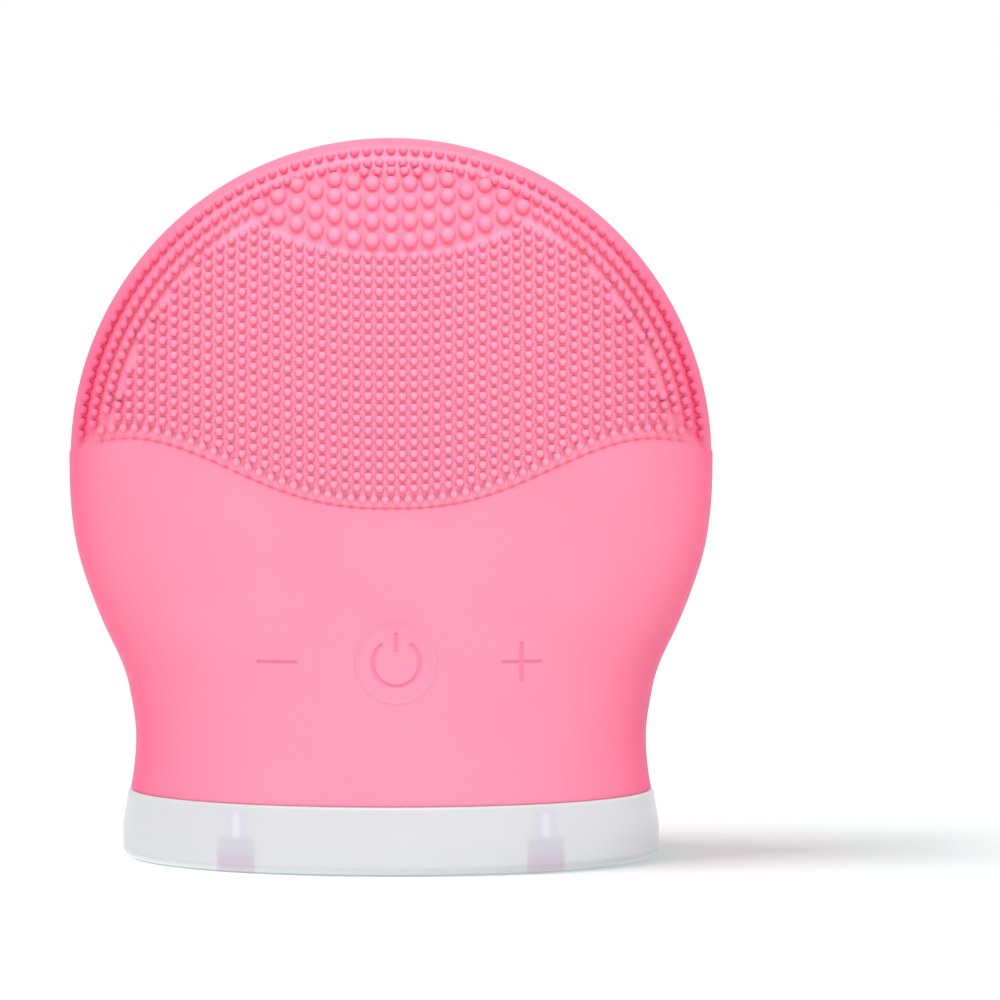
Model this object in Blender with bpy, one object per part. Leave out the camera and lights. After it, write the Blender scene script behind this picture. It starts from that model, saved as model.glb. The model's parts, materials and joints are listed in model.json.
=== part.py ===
"""A facial cleansing brush: a pink silicone sleeve over a two-part shell, standing on a frosted base cap.

Metres, +Z up. The origin is the middle of the base cap's underside. The front, with its three keys,
faces -Y, and +X is to the right when the brush is seen from the front.
"""

import math

import bmesh
import bpy
from mathutils import Matrix, Vector

MM = 0.001
GAP = 0.3 * MM  # clearance between neighbouring pieces

# The outside of the sleeve: a round head that narrows to a waist above the base.
HEAD_RADIUS = 37.5 * MM
HEAD_Z = 46.4 * MM
HEAD_DEPTH = 15.6 * MM  # from the middle plane to the face
FOOT_DEPTH = 18.3 * MM
HEAD_ROUNDING = 2.5  # superellipse exponents of the level sections
FOOT_ROUNDING = 2.05
# Half width below the head's centre: height, half width (both mm) and its slope.
FLANK = ((8.1, 30.45, -0.19), (14.0, 29.85, 0.0), (20.0, 30.65, 0.19), (25.0, 32.5, 0.5), (33.3, 35.85, 0.33),
         (46.4, 37.5, 0.0))

# The brush zone: everything above a wave-shaped line, inside a smooth rim. It is the tips' envelope.
WAVE_TROUGH_Z = 41.5 * MM
WAVE_PEAK_Z = 49.2 * MM
WAVE_PEAK_X = 29.8 * MM
WAVE_SHARPNESS = 1.25
BRUSH_RIM_RADIUS = 36.2 * MM
BRUSH_PROUD = 0.6 * MM

# Walls.
SLEEVE_WALL = 1.8 * MM
SHELL_WALL = 1.5 * MM
SHELL_INSET = SLEEVE_WALL + GAP
SHELL_FLOOR = 1.5 * MM

# Base cap, with four screw columns that show through it.
BASE_HEIGHT = 7.8 * MM
BASE_HALF = Vector((31.4 * MM, 19.0 * MM))
BASE_TOP_HALF = Vector((30.75 * MM, 18.5 * MM))
BASE_WALL = 1.5 * MM
BASE_FLOOR = 1.5 * MM
BASE_CORNER = 1.2 * MM
COLUMN_X = 17.7 * MM
COLUMN_Y = 10.0 * MM
COLUMN_RADIUS = 2.9 * MM
RECESS_RADIUS = 2.1 * MM
RECESS_DEPTH = 3.9 * MM
PLUG_RADIUS = 1.85 * MM
PLUG_LOW = 0.45 * MM
PLUG_HIGH = 1.9 * MM
BODY_FOOT = BASE_HEIGHT + GAP

# Keys, switches and board.
KEY_Z = 24.1 * MM
MINUS_X = -13.0 * MM
POWER_X = 0.6 * MM
PLUS_X = 14.9 * MM
KEY_RADIUS = 4.6 * MM
CUT_START = 4.0 * MM  # from the middle plane, where cutters through one face begin
SYMBOL_SIZE = 5.1 * MM
SYMBOL_LINE = 0.45 * MM
SYMBOL_DEPTH = 0.25 * MM
POST_RADIUS = 1.1 * MM
BOARD_FRONT_Y = -8.6 * MM
BOARD_THICKNESS = 1.2 * MM
BOARD_HALF_X = 19.0 * MM
BOARD_LOW_Z = 15.0 * MM
BOARD_HIGH_Z = 34.0 * MM
SWITCH_HALF = 1.8 * MM
SWITCH_HEIGHT = 1.5 * MM
PLUNGER_RADIUS = 0.8 * MM
PLUNGER_LENGTH = 1.1 * MM
PLUNGER_PROUD = 0.55 * MM

# Motor, standing upright in the head.
MOTOR_RADIUS = 5.0 * MM
MOTOR_LOW_Z = 47.0 * MM
MOTOR_HIGH_Z = 65.0 * MM
SHAFT_INSIDE = 3.5 * MM  # length of the shaft inside the can
SHAFT_WELL = 4.0 * MM
SHAFT_PAST_WEIGHT = 0.8 * MM
END_CAP_THICKNESS = 1.4 * MM
WEIGHT_HUB_RADIUS = 1.9 * MM
SHAFT_RADIUS = 0.75 * MM
SHAFT_CLEARANCE = 0.1 * MM
WEIGHT_RADIUS = 4.5 * MM
WEIGHT_LOW_Z = 66.2 * MM
WEIGHT_HIGH_Z = 71.2 * MM
ISOLATOR_RADIUS = 7.2 * MM
STRAP_WALL = 1.6 * MM
STRAP_SCREW_X = 11.8 * MM
STRAP_Z = 55.5 * MM
STRAP_HALF_HEIGHT = 4.0 * MM

# Cell and foam.
CELL_LOW = Vector((-15.0, 1.5, 21.0)) * MM
CELL_HIGH = Vector((15.0, 7.5, 43.0)) * MM
FOAM_THICKNESS = 2.2 * MM

# Screws: head and shank radii. Small ones hold the board and the motor strap.
SCREW_HEAD_RADIUS = 1.75 * MM
SCREW_HEAD_HEIGHT = 1.1 * MM
SCREW_RADIUS = 0.8 * MM
SCREW_SLOT = 0.5 * MM
SCREW_SEAT_Y = 4.0 * MM
BOSS_RADIUS = 2.3 * MM
SEAT_BOSS_RADIUS = 2.8 * MM
PILOT_RADIUS = SCREW_RADIUS + GAP
SHELL_SCREWS = {"upper_left": (-21.5, 64.0), "upper_right": (21.5, 64.0),
                "lower_left": (-23.0, 37.5), "lower_right": (23.0, 37.5)}
BOARD_SCREW_X = 16.0 * MM
BOARD_SCREW_Z = 31.2 * MM
BASE_SHANK = 9.5 * MM
SHELL_SHANK = 10.0 * MM
BOARD_SHANK = 3.5 * MM
STRAP_SHANK = 6.0 * MM
FOOT_BOSS_HEIGHT = 5.0 * MM
FOOT_BORE_HEIGHT = 5.4 * MM  # above the shell's foot
SHELL_BORE_END = 6.5 * MM  # from the middle plane
BOARD_BORE_DEPTH = 2.6 * MM
STRAP_BORE_END = 6.0 * MM  # from the middle plane
STRAP_BOSS_START = 0.4 * MM
# Chips behind the board: centre x and z, and size, in mm.
CHIPS = {"controller_chip": (-4.5, 26.0, 5.0), "charger_chip": (6.0, 22.0, 3.0)}
CHIP_THICKNESS = 0.9 * MM
LAMP_SIZE = Vector((1.6, 0.7, 0.9)) * MM
LAMP_BELOW_KEY = 4.2 * MM

# Charging contacts in the back.
CONTACT_X = 5.0 * MM
CONTACT_Z = 16.5 * MM
CONTACT_RADIUS = 2.0 * MM

LEAD_RADIUS = 0.45 * MM
FAR = 30.0 * MM  # past the brush's surface, for cutters
FINE = {"segments": 40, "low_rows": 9, "high_rows": 9}  # facets of the outermost surface

TO_FRONT = Matrix.Rotation(math.radians(90), 4, "X")  # turns +Z to -Y
TO_BACK = Matrix.Rotation(math.radians(-90), 4, "X")  # turns +Z to +Y


def clear_scene():
    for item in list(bpy.data.objects):
        bpy.data.objects.remove(item)


# ---------------------------------------------------------------- materials

def make_material(name, colour, roughness, metallic=0.0):
    material = bpy.data.materials.new(name)
    material.use_nodes = True
    shader = material.node_tree.nodes["Principled BSDF"]
    shader.inputs["Base Color"].default_value = (*colour, 1.0)
    shader.inputs["Roughness"].default_value = roughness
    shader.inputs["Metallic"].default_value = metallic
    material.diffuse_color = (*colour, 1.0)
    return material


def make_materials():
    table = {
        "silicone": ((1.0, 0.34, 0.50), 0.45, 0.0),
        "key_silicone": ((1.0, 0.36, 0.52), 0.45, 0.0),
        "plug_silicone": ((0.85, 0.55, 0.70), 0.5, 0.0),
        "shell_plastic": ((0.85, 0.85, 0.84), 0.5, 0.0),
        "frosted_plastic": ((0.82, 0.83, 0.85), 0.35, 0.0),
        "strap_plastic": ((0.10, 0.10, 0.11), 0.5, 0.0),
        "steel": ((0.62, 0.62, 0.64), 0.3, 1.0),
        "gold_plate": ((0.83, 0.62, 0.28), 0.25, 1.0),
        "board": ((0.03, 0.22, 0.10), 0.5, 0.0),
        "chip": ((0.03, 0.03, 0.035), 0.5, 0.0),
        "lamp": ((0.92, 0.92, 0.80), 0.3, 0.0),
        "cell_foil": ((0.70, 0.72, 0.74), 0.35, 0.6),
        "foam": ((0.08, 0.08, 0.09), 0.95, 0.0),
        "rubber": ((0.06, 0.06, 0.06), 0.8, 0.0),
        "weight_metal": ((0.38, 0.38, 0.40), 0.4, 1.0),
        "red_wire": ((0.65, 0.03, 0.03), 0.4, 0.0),
        "black_wire": ((0.03, 0.03, 0.03), 0.4, 0.0),
    }
    return {name: make_material(name, *values) for name, values in table.items()}


# ---------------------------------------------------------------- building blocks

def add_object(name, bm, material=None):
    """A mesh object from bm, facing out and shaded smooth except at its real edges."""
    bmesh.ops.recalc_face_normals(bm, faces=bm.faces[:])
    mesh = bpy.data.meshes.new(name)
    bm.to_mesh(mesh)
    bm.free()
    mesh.shade_smooth()
    mesh.set_sharp_from_angle(angle=math.radians(35))
    item = bpy.data.objects.new(name, mesh)
    bpy.context.scene.collection.objects.link(item)
    if material:
        mesh.materials.append(material)
    return item


def hide(item):
    """Marks a cutter or a guide, which is not a piece of the brush."""
    item.hide_render = True
    item.display_type = "WIRE"
    return item


def combine(item, operation, *others):
    for other in others:
        modifier = item.modifiers.new(other.name, "BOOLEAN")
        modifier.operation = operation
        modifier.object = other
    return item


def put_origin(item, place):
    """Moves the object's origin to place and leaves its surface where it is."""
    item.data.transform(Matrix.Translation(-place))
    item.location = place
    return item


def bridge(bm, first, second):
    """Faces between two rings of equal count; a ring of one vertex is a pole."""
    count = max(len(first), len(second))
    for i in range(count):
        j = (i + 1) % count
        if len(first) == 1:
            bm.faces.new((first[0], second[j], second[i]))
        elif len(second) == 1:
            bm.faces.new((first[i], first[j], second[0]))
        else:
            bm.faces.new((first[i], first[j], second[j], second[i]))


def rings_object(name, rings, material=None, closed=False, triangles=False):
    """A skin over rings of points. The end rings are filled, unless closed joins the last to the first.
    A curved form is made of triangles, because its four-sided faces would not be flat."""
    bm = bmesh.new()
    made = [[bm.verts.new(point) for point in ring] for ring in rings]
    for first, second in zip(made, made[1:]):
        bridge(bm, first, second)
    if closed:
        bridge(bm, made[-1], made[0])
    else:
        for ring in (made[0], made[-1]):
            if len(ring) > 2:
                bm.faces.new(ring)
    if triangles:
        bmesh.ops.triangulate(bm, faces=bm.faces[:])
    return add_object(name, bm, material)


def turned(name, profile, place, axis, material=None, segments=12):
    """Turns (radius, height) pairs about an axis. A profile that never meets the axis closes on itself."""
    rings = []
    for radius, height in profile:
        steps = segments if radius > 0 else 1
        angles = [math.tau * i / steps for i in range(steps)]
        rings.append([Vector((radius * math.cos(a), radius * math.sin(a), height)) for a in angles])
    turn = Matrix.Translation(place) @ axis
    rings = [[turn @ point for point in ring] for ring in rings]
    return rings_object(name, rings, material, closed=profile[0][0] > 0)


def rod(name, radius, start, length, axis, material=None, segments=12):
    profile = [(0, 0), (radius, 0), (radius, length), (0, length)]
    return turned(name, profile, start, axis, material, segments)


def prism(name, outline, low, high, plane, material=None):
    """Extrudes an outline of (u, v) points: plane XZ between y = low and high, or plane XY between z's."""
    if plane == "XZ":
        rings = [[Vector((u, y, v)) for u, v in outline] for y in (low, high)]
    else:
        rings = [[Vector((u, v, z)) for u, v in outline] for z in (low, high)]
    return rings_object(name, rings, material)


def block(name, low, high, material=None, bevel=0.0, segments=2):
    bm = bmesh.new()
    bmesh.ops.create_cube(bm, size=1.0)
    size = high - low
    bmesh.ops.scale(bm, vec=size, verts=bm.verts)
    bmesh.ops.translate(bm, vec=(low + high) / 2, verts=bm.verts)
    if bevel:
        bmesh.ops.bevel(bm, geom=bm.edges[:], offset=bevel, segments=segments, affect="EDGES", profile=0.5)
    return add_object(name, bm, material)


def rounded_rectangle(low, high, radius, steps=4):
    corners = ((high[0] - radius, high[1] - radius, 0), (low[0] + radius, high[1] - radius, 90),
               (low[0] + radius, low[1] + radius, 180), (high[0] - radius, low[1] + radius, 270))
    points = []
    for u, v, start in corners:
        for i in range(steps + 1):
            angle = math.radians(start + 90 * i / steps)
            points.append((u + radius * math.cos(angle), v + radius * math.sin(angle)))
    return points


def lead(name, route, material):
    """A held wire along a smooth curve through the points of route, given in mm."""
    points = smooth_route([Vector(point) * MM for point in route])
    curve = bpy.data.curves.new(name, "CURVE")
    curve.dimensions = "3D"
    curve.bevel_depth = LEAD_RADIUS
    curve.bevel_resolution = 2
    curve.use_fill_caps = True
    spline = curve.splines.new("POLY")
    spline.points.add(len(points) - 1)
    for target, point in zip(spline.points, points):
        target.co = (*point, 1.0)
    curve.materials.append(material)
    item = bpy.data.objects.new(name, curve)
    bpy.context.scene.collection.objects.link(item)
    return item


def smooth_route(points, steps=3):
    """Catmull-Rom through the points."""
    ends = [2 * points[0] - points[1]] + points + [2 * points[-1] - points[-2]]
    smooth = []
    for a, b, c, d in zip(ends, ends[1:], ends[2:], ends[3:]):
        for i in range(steps):
            t = i / steps
            smooth.append(0.5 * (2 * b + (c - a) * t + (2 * a - 5 * b + 4 * c - d) * t ** 2
                                 + (3 * b - a - 3 * c + d) * t ** 3))
    return smooth + [points[-1]]


# ---------------------------------------------------------------- the sleeve's form

def flank_half_width(z):
    """Cubic curve through FLANK's heights, widths and slopes, level below the foot."""
    height = max(z / MM, FLANK[0][0])
    for (z0, w0, s0), (z1, w1, s1) in zip(FLANK, FLANK[1:]):
        if height <= z1:
            break
    span = z1 - z0
    t = (height - z0) / span
    width = (w0 * (1 + 2 * t) * (1 - t) ** 2 + s0 * span * t * (1 - t) ** 2
             + w1 * t * t * (3 - 2 * t) + s1 * span * t * t * (t - 1))
    return width * MM


def rise(z):
    """0 at the foot, 1 at the head's centre and above."""
    return min(max((z - BODY_FOOT) / (HEAD_Z - BODY_FOOT), 0.0), 1.0)


def half_depth(z):
    return HEAD_DEPTH + (FOOT_DEPTH - HEAD_DEPTH) * (1 - rise(z)) ** 2


def rounding(z):
    return FOOT_ROUNDING + (HEAD_ROUNDING - FOOT_ROUNDING) * rise(z)


def half_width(z, inset):
    if z <= HEAD_Z:
        return flank_half_width(z) - inset
    radius = HEAD_RADIUS - inset
    return math.sqrt(max(radius ** 2 - (z - HEAD_Z) ** 2, 0.0))


def face_depth(x, z, inset, proud=0.0):
    """How far the surface, moved in by inset, lies from the middle plane at (x, z)."""
    if z <= HEAD_Z:
        reach = abs(x) / (flank_half_width(z) - inset)
    else:
        reach = math.hypot(x, z - HEAD_Z) / (HEAD_RADIUS - inset)
    power = rounding(z)
    fall = max(1 - min(reach, 1.0) ** power, 0.0) ** (1 / power)
    return (half_depth(z) - inset + proud) * fall


def level_ring(z, inset, proud, segments):
    width = half_width(z, inset)
    power = 2 / rounding(z)
    ring = []
    for i in range(segments):
        angle = math.tau * i / segments
        across = math.copysign(abs(math.cos(angle)) ** power, math.cos(angle))
        if 2 * i % segments == 0:
            ring.append(Vector((width * math.cos(angle), 0, z)))
        else:
            x = width * across
            ring.append(Vector((x, math.copysign(face_depth(x, z, inset, proud), math.sin(angle)), z)))
    return ring


def body_form(name, inset, foot, material=None, proud=0.0, segments=32, low_rows=7, high_rows=7):
    """The sleeve's outer form, moved in by inset, standing on a flat foot."""
    heights = [foot + (HEAD_Z - foot) * i / low_rows for i in range(low_rows)]
    radius = HEAD_RADIUS - inset
    heights += [HEAD_Z + radius * math.sin(math.radians(90) * i / high_rows) for i in range(high_rows)]
    rings = [level_ring(z, inset, proud, segments) for z in heights]
    rings.append([Vector((0, 0, HEAD_Z + radius))])
    return rings_object(name, rings, material, triangles=True)


def wave_z(x):
    """The lower border of the brush zone: a trough in the middle, a crest towards each side."""
    swing = 0.5 - 0.5 * math.cos(math.pi * (abs(x) / WAVE_PEAK_X) ** WAVE_SHARPNESS)
    return WAVE_TROUGH_Z + (WAVE_PEAK_Z - WAVE_TROUGH_Z) * swing


def brush_outline(wave_steps=24, arc_steps=28):
    """The wave from left to right, then the rim back over the top."""
    end_x = math.sqrt(BRUSH_RIM_RADIUS ** 2 - (wave_z(BRUSH_RIM_RADIUS) - HEAD_Z) ** 2)
    points = []
    for i in range(wave_steps + 1):
        x = end_x * (2 * i / wave_steps - 1)
        points.append((x, wave_z(x)))
    start = math.atan2(wave_z(end_x) - HEAD_Z, end_x)
    for i in range(1, arc_steps):
        angle = start + (math.pi - 2 * start) * i / arc_steps
        points.append((BRUSH_RIM_RADIUS * math.cos(angle), HEAD_Z + BRUSH_RIM_RADIUS * math.sin(angle)))
    return points


# ---------------------------------------------------------------- outer pieces

def make_guides():
    """Solids that only cut or limit the real pieces."""
    guides = {
        "outer": body_form("guide_outer", 0.0, BODY_FOOT, **FINE),
        "cavity": body_form("guide_cavity", SLEEVE_WALL, BODY_FOOT - FAR),
        "engraving": body_form("guide_engraving", SYMBOL_DEPTH, BODY_FOOT - FAR, **FINE),
        "shell_hollow": body_form("guide_shell_hollow", SHELL_INSET + SHELL_WALL, BODY_FOOT + SHELL_FLOOR,
                                  segments=28, low_rows=6, high_rows=6),
        "boss_limit": body_form("guide_boss_limit", SHELL_INSET + SHELL_WALL / 2, BODY_FOOT + SHELL_FLOOR / 2),
        "brush": body_form("guide_brush", 0.0, BODY_FOOT, proud=BRUSH_PROUD, **FINE),
        "front_half": block("guide_front_half", Vector((-2 * FAR, -2 * FAR, -FAR)),
                            Vector((2 * FAR, -GAP / 2, 4 * FAR))),
        "back_half": block("guide_back_half", Vector((-2 * FAR, GAP / 2, -FAR)),
                           Vector((2 * FAR, 2 * FAR, 4 * FAR))),
    }
    outline = prism("guide_brush_outline", brush_outline(), -FAR, FAR, "XZ")
    combine(guides["brush"], "INTERSECT", hide(outline))
    for guide in guides.values():
        hide(guide)
    return guides


def key_places():
    """Name and centre x of each key."""
    return {"minus": MINUS_X, "power": POWER_X, "plus": PLUS_X}


def contact_places():
    return {"left": -CONTACT_X, "right": CONTACT_X}


def make_sleeve(guides, material):
    sleeve = body_form("silicone_sleeve", 0.0, BODY_FOOT, material, **FINE)
    combine(sleeve, "UNION", guides["brush"])
    combine(sleeve, "DIFFERENCE", guides["cavity"])
    for name, x in key_places().items():
        hole = rod(f"cut_key_hole_{name}", KEY_RADIUS + GAP, Vector((x, -CUT_START, KEY_Z)), FAR, TO_FRONT,
                   segments=28)
        combine(sleeve, "DIFFERENCE", hide(hole))
    for name, x in contact_places().items():
        start = Vector((x, CUT_START, CONTACT_Z))
        hole = rod(f"cut_contact_hole_{name}", CONTACT_RADIUS + GAP, start, FAR, TO_BACK)
        combine(sleeve, "DIFFERENCE", hide(hole))


def bar_outline(x, z, width, height):
    return [(x - width / 2, z - height / 2), (x + width / 2, z - height / 2),
            (x + width / 2, z + height / 2), (x - width / 2, z + height / 2)]


def cross_outline(x, z, size, line):
    a = size / 2
    b = line / 2
    corners = ((-a, -b), (-b, -b), (-b, -a), (b, -a), (b, -b), (a, -b), (a, b), (b, b), (b, a), (-b, a), (-b, b),
               (-a, b))
    return [(x + u, z + v) for u, v in corners]


def open_ring_outline(x, z, radius, line, opening=0.6, steps=18):
    """A circle of the given line width, open at its top by the angle 2 x opening."""
    angles = [math.pi / 2 + opening + (math.tau - 2 * opening) * i / steps for i in range(steps + 1)]
    outer = [(x + (radius + line / 2) * math.cos(a), z + (radius + line / 2) * math.sin(a)) for a in angles]
    inner = [(x + (radius - line / 2) * math.cos(a), z + (radius - line / 2) * math.sin(a)) for a in angles]
    return outer + inner[::-1]


def symbol_outlines(name, x):
    if name == "minus":
        return [bar_outline(x, KEY_Z, SYMBOL_SIZE, SYMBOL_LINE)]
    if name == "plus":
        return [cross_outline(x, KEY_Z, SYMBOL_SIZE, SYMBOL_LINE)]
    ring = open_ring_outline(x, KEY_Z, SYMBOL_SIZE / 2, SYMBOL_LINE)
    stem = bar_outline(x, KEY_Z + SYMBOL_SIZE * 0.42, SYMBOL_LINE, SYMBOL_SIZE * 0.45)
    return [ring, stem]


def make_keys(guides, material):
    """Each key fills its hole in the sleeve and has a post that reaches to its switch."""
    post_end = BOARD_FRONT_Y - GAP - SWITCH_HEIGHT - PLUNGER_PROUD - GAP
    for name, x in key_places().items():
        start = Vector((x, -CUT_START, KEY_Z))
        key = rod(f"{name}_key", KEY_RADIUS, start, FAR, TO_FRONT, material, segments=32)
        combine(key, "INTERSECT", guides["outer"])
        combine(key, "DIFFERENCE", guides["cavity"])
        for count, outline in enumerate(symbol_outlines(name, x)):
            mark = prism(f"cut_{name}_mark_{count}", outline, -FAR, 0.0, "XZ")
            combine(mark, "DIFFERENCE", guides["engraving"])
            combine(key, "DIFFERENCE", hide(mark))
        back = face_depth(x, KEY_Z, SLEEVE_WALL)
        length = back + post_end + SLEEVE_WALL / 2
        post = rod(f"join_{name}_post", POST_RADIUS, Vector((x, post_end, KEY_Z)), length, TO_FRONT)
        combine(key, "UNION", hide(post))
        put_origin(key, Vector((x, -back, KEY_Z)))


def base_ring(z, inset, segments=36):
    """A level oval of the base cap. The wall leans in above its lower half, and its foot is rounded."""
    lean = max(z / BASE_HEIGHT - 0.5, 0.0) * 2
    half = BASE_HALF.lerp(BASE_TOP_HALF, lean)
    into_corner = max(BASE_CORNER - z, 0.0)
    corner = BASE_CORNER - math.sqrt(BASE_CORNER ** 2 - into_corner ** 2)
    power = 2 / FOOT_ROUNDING
    ring = []
    for i in range(segments):
        angle = math.tau * i / segments
        u = math.copysign(abs(math.cos(angle)) ** power, math.cos(angle))
        v = math.copysign(abs(math.sin(angle)) ** power, math.sin(angle))
        shrink = inset + corner
        ring.append(Vector(((half.x - shrink) * u, (half.y - shrink) * v, z)))
    return ring


def make_base(material):
    """A tray with four hollow columns, each with a recess for a screw head below and a screw hole above."""
    outer_heights = [0.0, 0.15 * BASE_CORNER, 0.5 * BASE_CORNER, BASE_CORNER, BASE_HEIGHT / 2, BASE_HEIGHT]
    inner_heights = [BASE_HEIGHT, BASE_HEIGHT / 2, BASE_FLOOR]
    rings = [base_ring(z, 0.0) for z in outer_heights] + [base_ring(z, BASE_WALL) for z in inner_heights]
    base = rings_object("base_cap", rings, material, triangles=True)
    for name, place in column_places().items():
        column = rod(f"join_column_{name}", COLUMN_RADIUS, place + Vector((0, 0, BASE_FLOOR / 2)),
                     BASE_HEIGHT - BASE_FLOOR / 2, Matrix.Identity(4), segments=24)
        profile = [(0, -FAR), (RECESS_RADIUS, -FAR), (RECESS_RADIUS, RECESS_DEPTH),
                   (PILOT_RADIUS, RECESS_DEPTH), (PILOT_RADIUS, FAR), (0, FAR)]
        hole = turned(f"cut_column_{name}", profile, place, Matrix.Identity(4), segments=24)
        combine(base, "UNION", hide(column))
        combine(base, "DIFFERENCE", hide(hole))
    return base


def column_places():
    return {f"{depth}_{side}": Vector((x, y, 0.0))
            for depth, y in (("front", -COLUMN_Y), ("back", COLUMN_Y))
            for side, x in (("left", -COLUMN_X), ("right", COLUMN_X))}


def screw(name, head_top, shank_length, axis, material):
    """A pan-head screw with a slot. Its axis points from the head towards its tip."""
    profile = [(0, 0), (SCREW_HEAD_RADIUS * 0.75, 0), (SCREW_HEAD_RADIUS, SCREW_HEAD_HEIGHT * 0.4),
               (SCREW_HEAD_RADIUS, SCREW_HEAD_HEIGHT), (SCREW_RADIUS, SCREW_HEAD_HEIGHT),
               (SCREW_RADIUS, SCREW_HEAD_HEIGHT + shank_length - SCREW_RADIUS),
               (0, SCREW_HEAD_HEIGHT + shank_length)]
    item = turned(name, profile, head_top, axis, material)
    length = SCREW_HEAD_RADIUS * 1.4
    half = Vector((length / 2, SCREW_SLOT / 2, SCREW_SLOT))
    slot = block(f"cut_slot_{name}", -half, half)
    slot.matrix_world = Matrix.Translation(head_top) @ axis
    combine(item, "DIFFERENCE", hide(slot))
    return item


def make_base_fixings(materials):
    for name, place in column_places().items():
        head = place + Vector((0, 0, RECESS_DEPTH - GAP - SCREW_HEAD_HEIGHT))
        screw(f"base_screw_{name}", head, BASE_SHANK, Matrix.Identity(4), materials["steel"])
        edge = 0.2 * MM
        profile = [(0, PLUG_LOW), (PLUG_RADIUS - edge, PLUG_LOW), (PLUG_RADIUS, PLUG_LOW + edge),
                   (PLUG_RADIUS, PLUG_HIGH - edge), (PLUG_RADIUS - edge, PLUG_HIGH), (0, PLUG_HIGH)]
        turned(f"screw_plug_{name}", profile, place, Matrix.Identity(4), materials["plug_silicone"], segments=24)


# ---------------------------------------------------------------- shell halves

def pilot(name, x, z, start_y, end_y, radius=PILOT_RADIUS):
    axis = TO_BACK if end_y > start_y else TO_FRONT
    return hide(rod(name, radius, Vector((x, start_y, z)), abs(end_y - start_y), axis))


def make_shell_half(name, guides, half, material):
    shell = body_form(name, SHELL_INSET, BODY_FOOT, material)
    combine(shell, "DIFFERENCE", guides["shell_hollow"])
    combine(shell, "INTERSECT", guides[half])
    return shell


def add_bosses(shell, side, bosses, guides, radius=BOSS_RADIUS):
    """Bosses run from start_y, near the middle plane, into the shell's wall. side is -1 in front."""
    axis = TO_BACK if side > 0 else TO_FRONT
    for name, x, z, start_y in bosses:
        boss = rod(f"join_{shell.name}_{name}", radius, Vector((x, side * start_y, z)), FAR, axis)
        combine(boss, "INTERSECT", guides["boss_limit"])
        combine(shell, "UNION", hide(boss))


def add_foot_bosses(shell, side, guides):
    """Two upright bosses that the base screws bite into."""
    for name, x in (("left", -COLUMN_X), ("right", COLUMN_X)):
        place = Vector((x, side * COLUMN_Y, BODY_FOOT + SHELL_FLOOR / 2))
        up = Matrix.Identity(4)
        post = rod(f"join_{shell.name}_foot_{name}", BOSS_RADIUS, place, FOOT_BOSS_HEIGHT, up)
        combine(post, "INTERSECT", guides["boss_limit"])
        combine(shell, "UNION", hide(post))
        low = Vector((x, side * COLUMN_Y, BODY_FOOT - FAR))
        bore = rod(f"cut_{shell.name}_foot_{name}", PILOT_RADIUS, low, FAR + FOOT_BORE_HEIGHT, up)
        combine(shell, "DIFFERENCE", hide(bore))


def make_front_shell(guides, material):
    shell = make_shell_half("front_housing", guides, "front_half", material)
    shell_bosses = [(name, x * MM, z * MM, GAP) for name, (x, z) in SHELL_SCREWS.items()]
    standoff = -BOARD_FRONT_Y + GAP
    board_bosses = [(f"board_{side}", x, BOARD_SCREW_Z, standoff)
                    for side, x in (("left", -BOARD_SCREW_X), ("right", BOARD_SCREW_X))]
    add_bosses(shell, -1, shell_bosses + board_bosses, guides)
    for name, x, z, _ in shell_bosses:
        combine(shell, "DIFFERENCE", pilot(f"cut_front_{name}", x, z, FAR, -SHELL_BORE_END))
    for name, x, z, start_y in board_bosses:
        combine(shell, "DIFFERENCE", pilot(f"cut_front_{name}", x, z, 0.0, -start_y - BOARD_BORE_DEPTH))
    for name, x in key_places().items():
        window = rod(f"cut_window_{name}", KEY_RADIUS + 2 * GAP, Vector((x, -CUT_START, KEY_Z)), FAR, TO_FRONT,
                     segments=24)
        combine(shell, "DIFFERENCE", hide(window))
    add_foot_bosses(shell, -1, guides)
    return shell


def make_back_shell(guides, material):
    shell = make_shell_half("rear_housing", guides, "back_half", material)
    shell_bosses = [(name, x * MM, z * MM, GAP) for name, (x, z) in SHELL_SCREWS.items()]
    strap_bosses = [(f"strap_{side}", x, STRAP_Z, STRAP_BOSS_START)
                    for side, x in (("left", -STRAP_SCREW_X), ("right", STRAP_SCREW_X))]
    add_bosses(shell, 1, shell_bosses, guides, SEAT_BOSS_RADIUS)
    add_bosses(shell, 1, strap_bosses, guides)
    seat_radius = SCREW_HEAD_RADIUS + GAP
    stepped = [(0, -FAR), (PILOT_RADIUS, -FAR), (PILOT_RADIUS, SCREW_SEAT_Y), (seat_radius, SCREW_SEAT_Y),
               (seat_radius, FAR), (0, FAR)]
    for name, x, z, _ in shell_bosses:
        hole = turned(f"cut_back_{name}", stepped, Vector((x, 0, z)), TO_BACK)
        combine(shell, "DIFFERENCE", hide(hole))
    for name, x, z, _ in strap_bosses:
        combine(shell, "DIFFERENCE", pilot(f"cut_back_{name}", x, z, -FAR, STRAP_BORE_END))
    for name, x in contact_places().items():
        hole = pilot(f"cut_back_contact_{name}", x, CONTACT_Z, CUT_START, FAR, CONTACT_RADIUS + GAP)
        combine(shell, "DIFFERENCE", hole)
    add_foot_bosses(shell, 1, guides)
    return shell


def make_shell_screws(material):
    for name, (x, z) in SHELL_SCREWS.items():
        head = Vector((x * MM, SCREW_SEAT_Y + GAP + SCREW_HEAD_HEIGHT, z * MM))
        screw(f"housing_screw_{name}", head, SHELL_SHANK, TO_FRONT, material)


# ---------------------------------------------------------------- electronics

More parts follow.
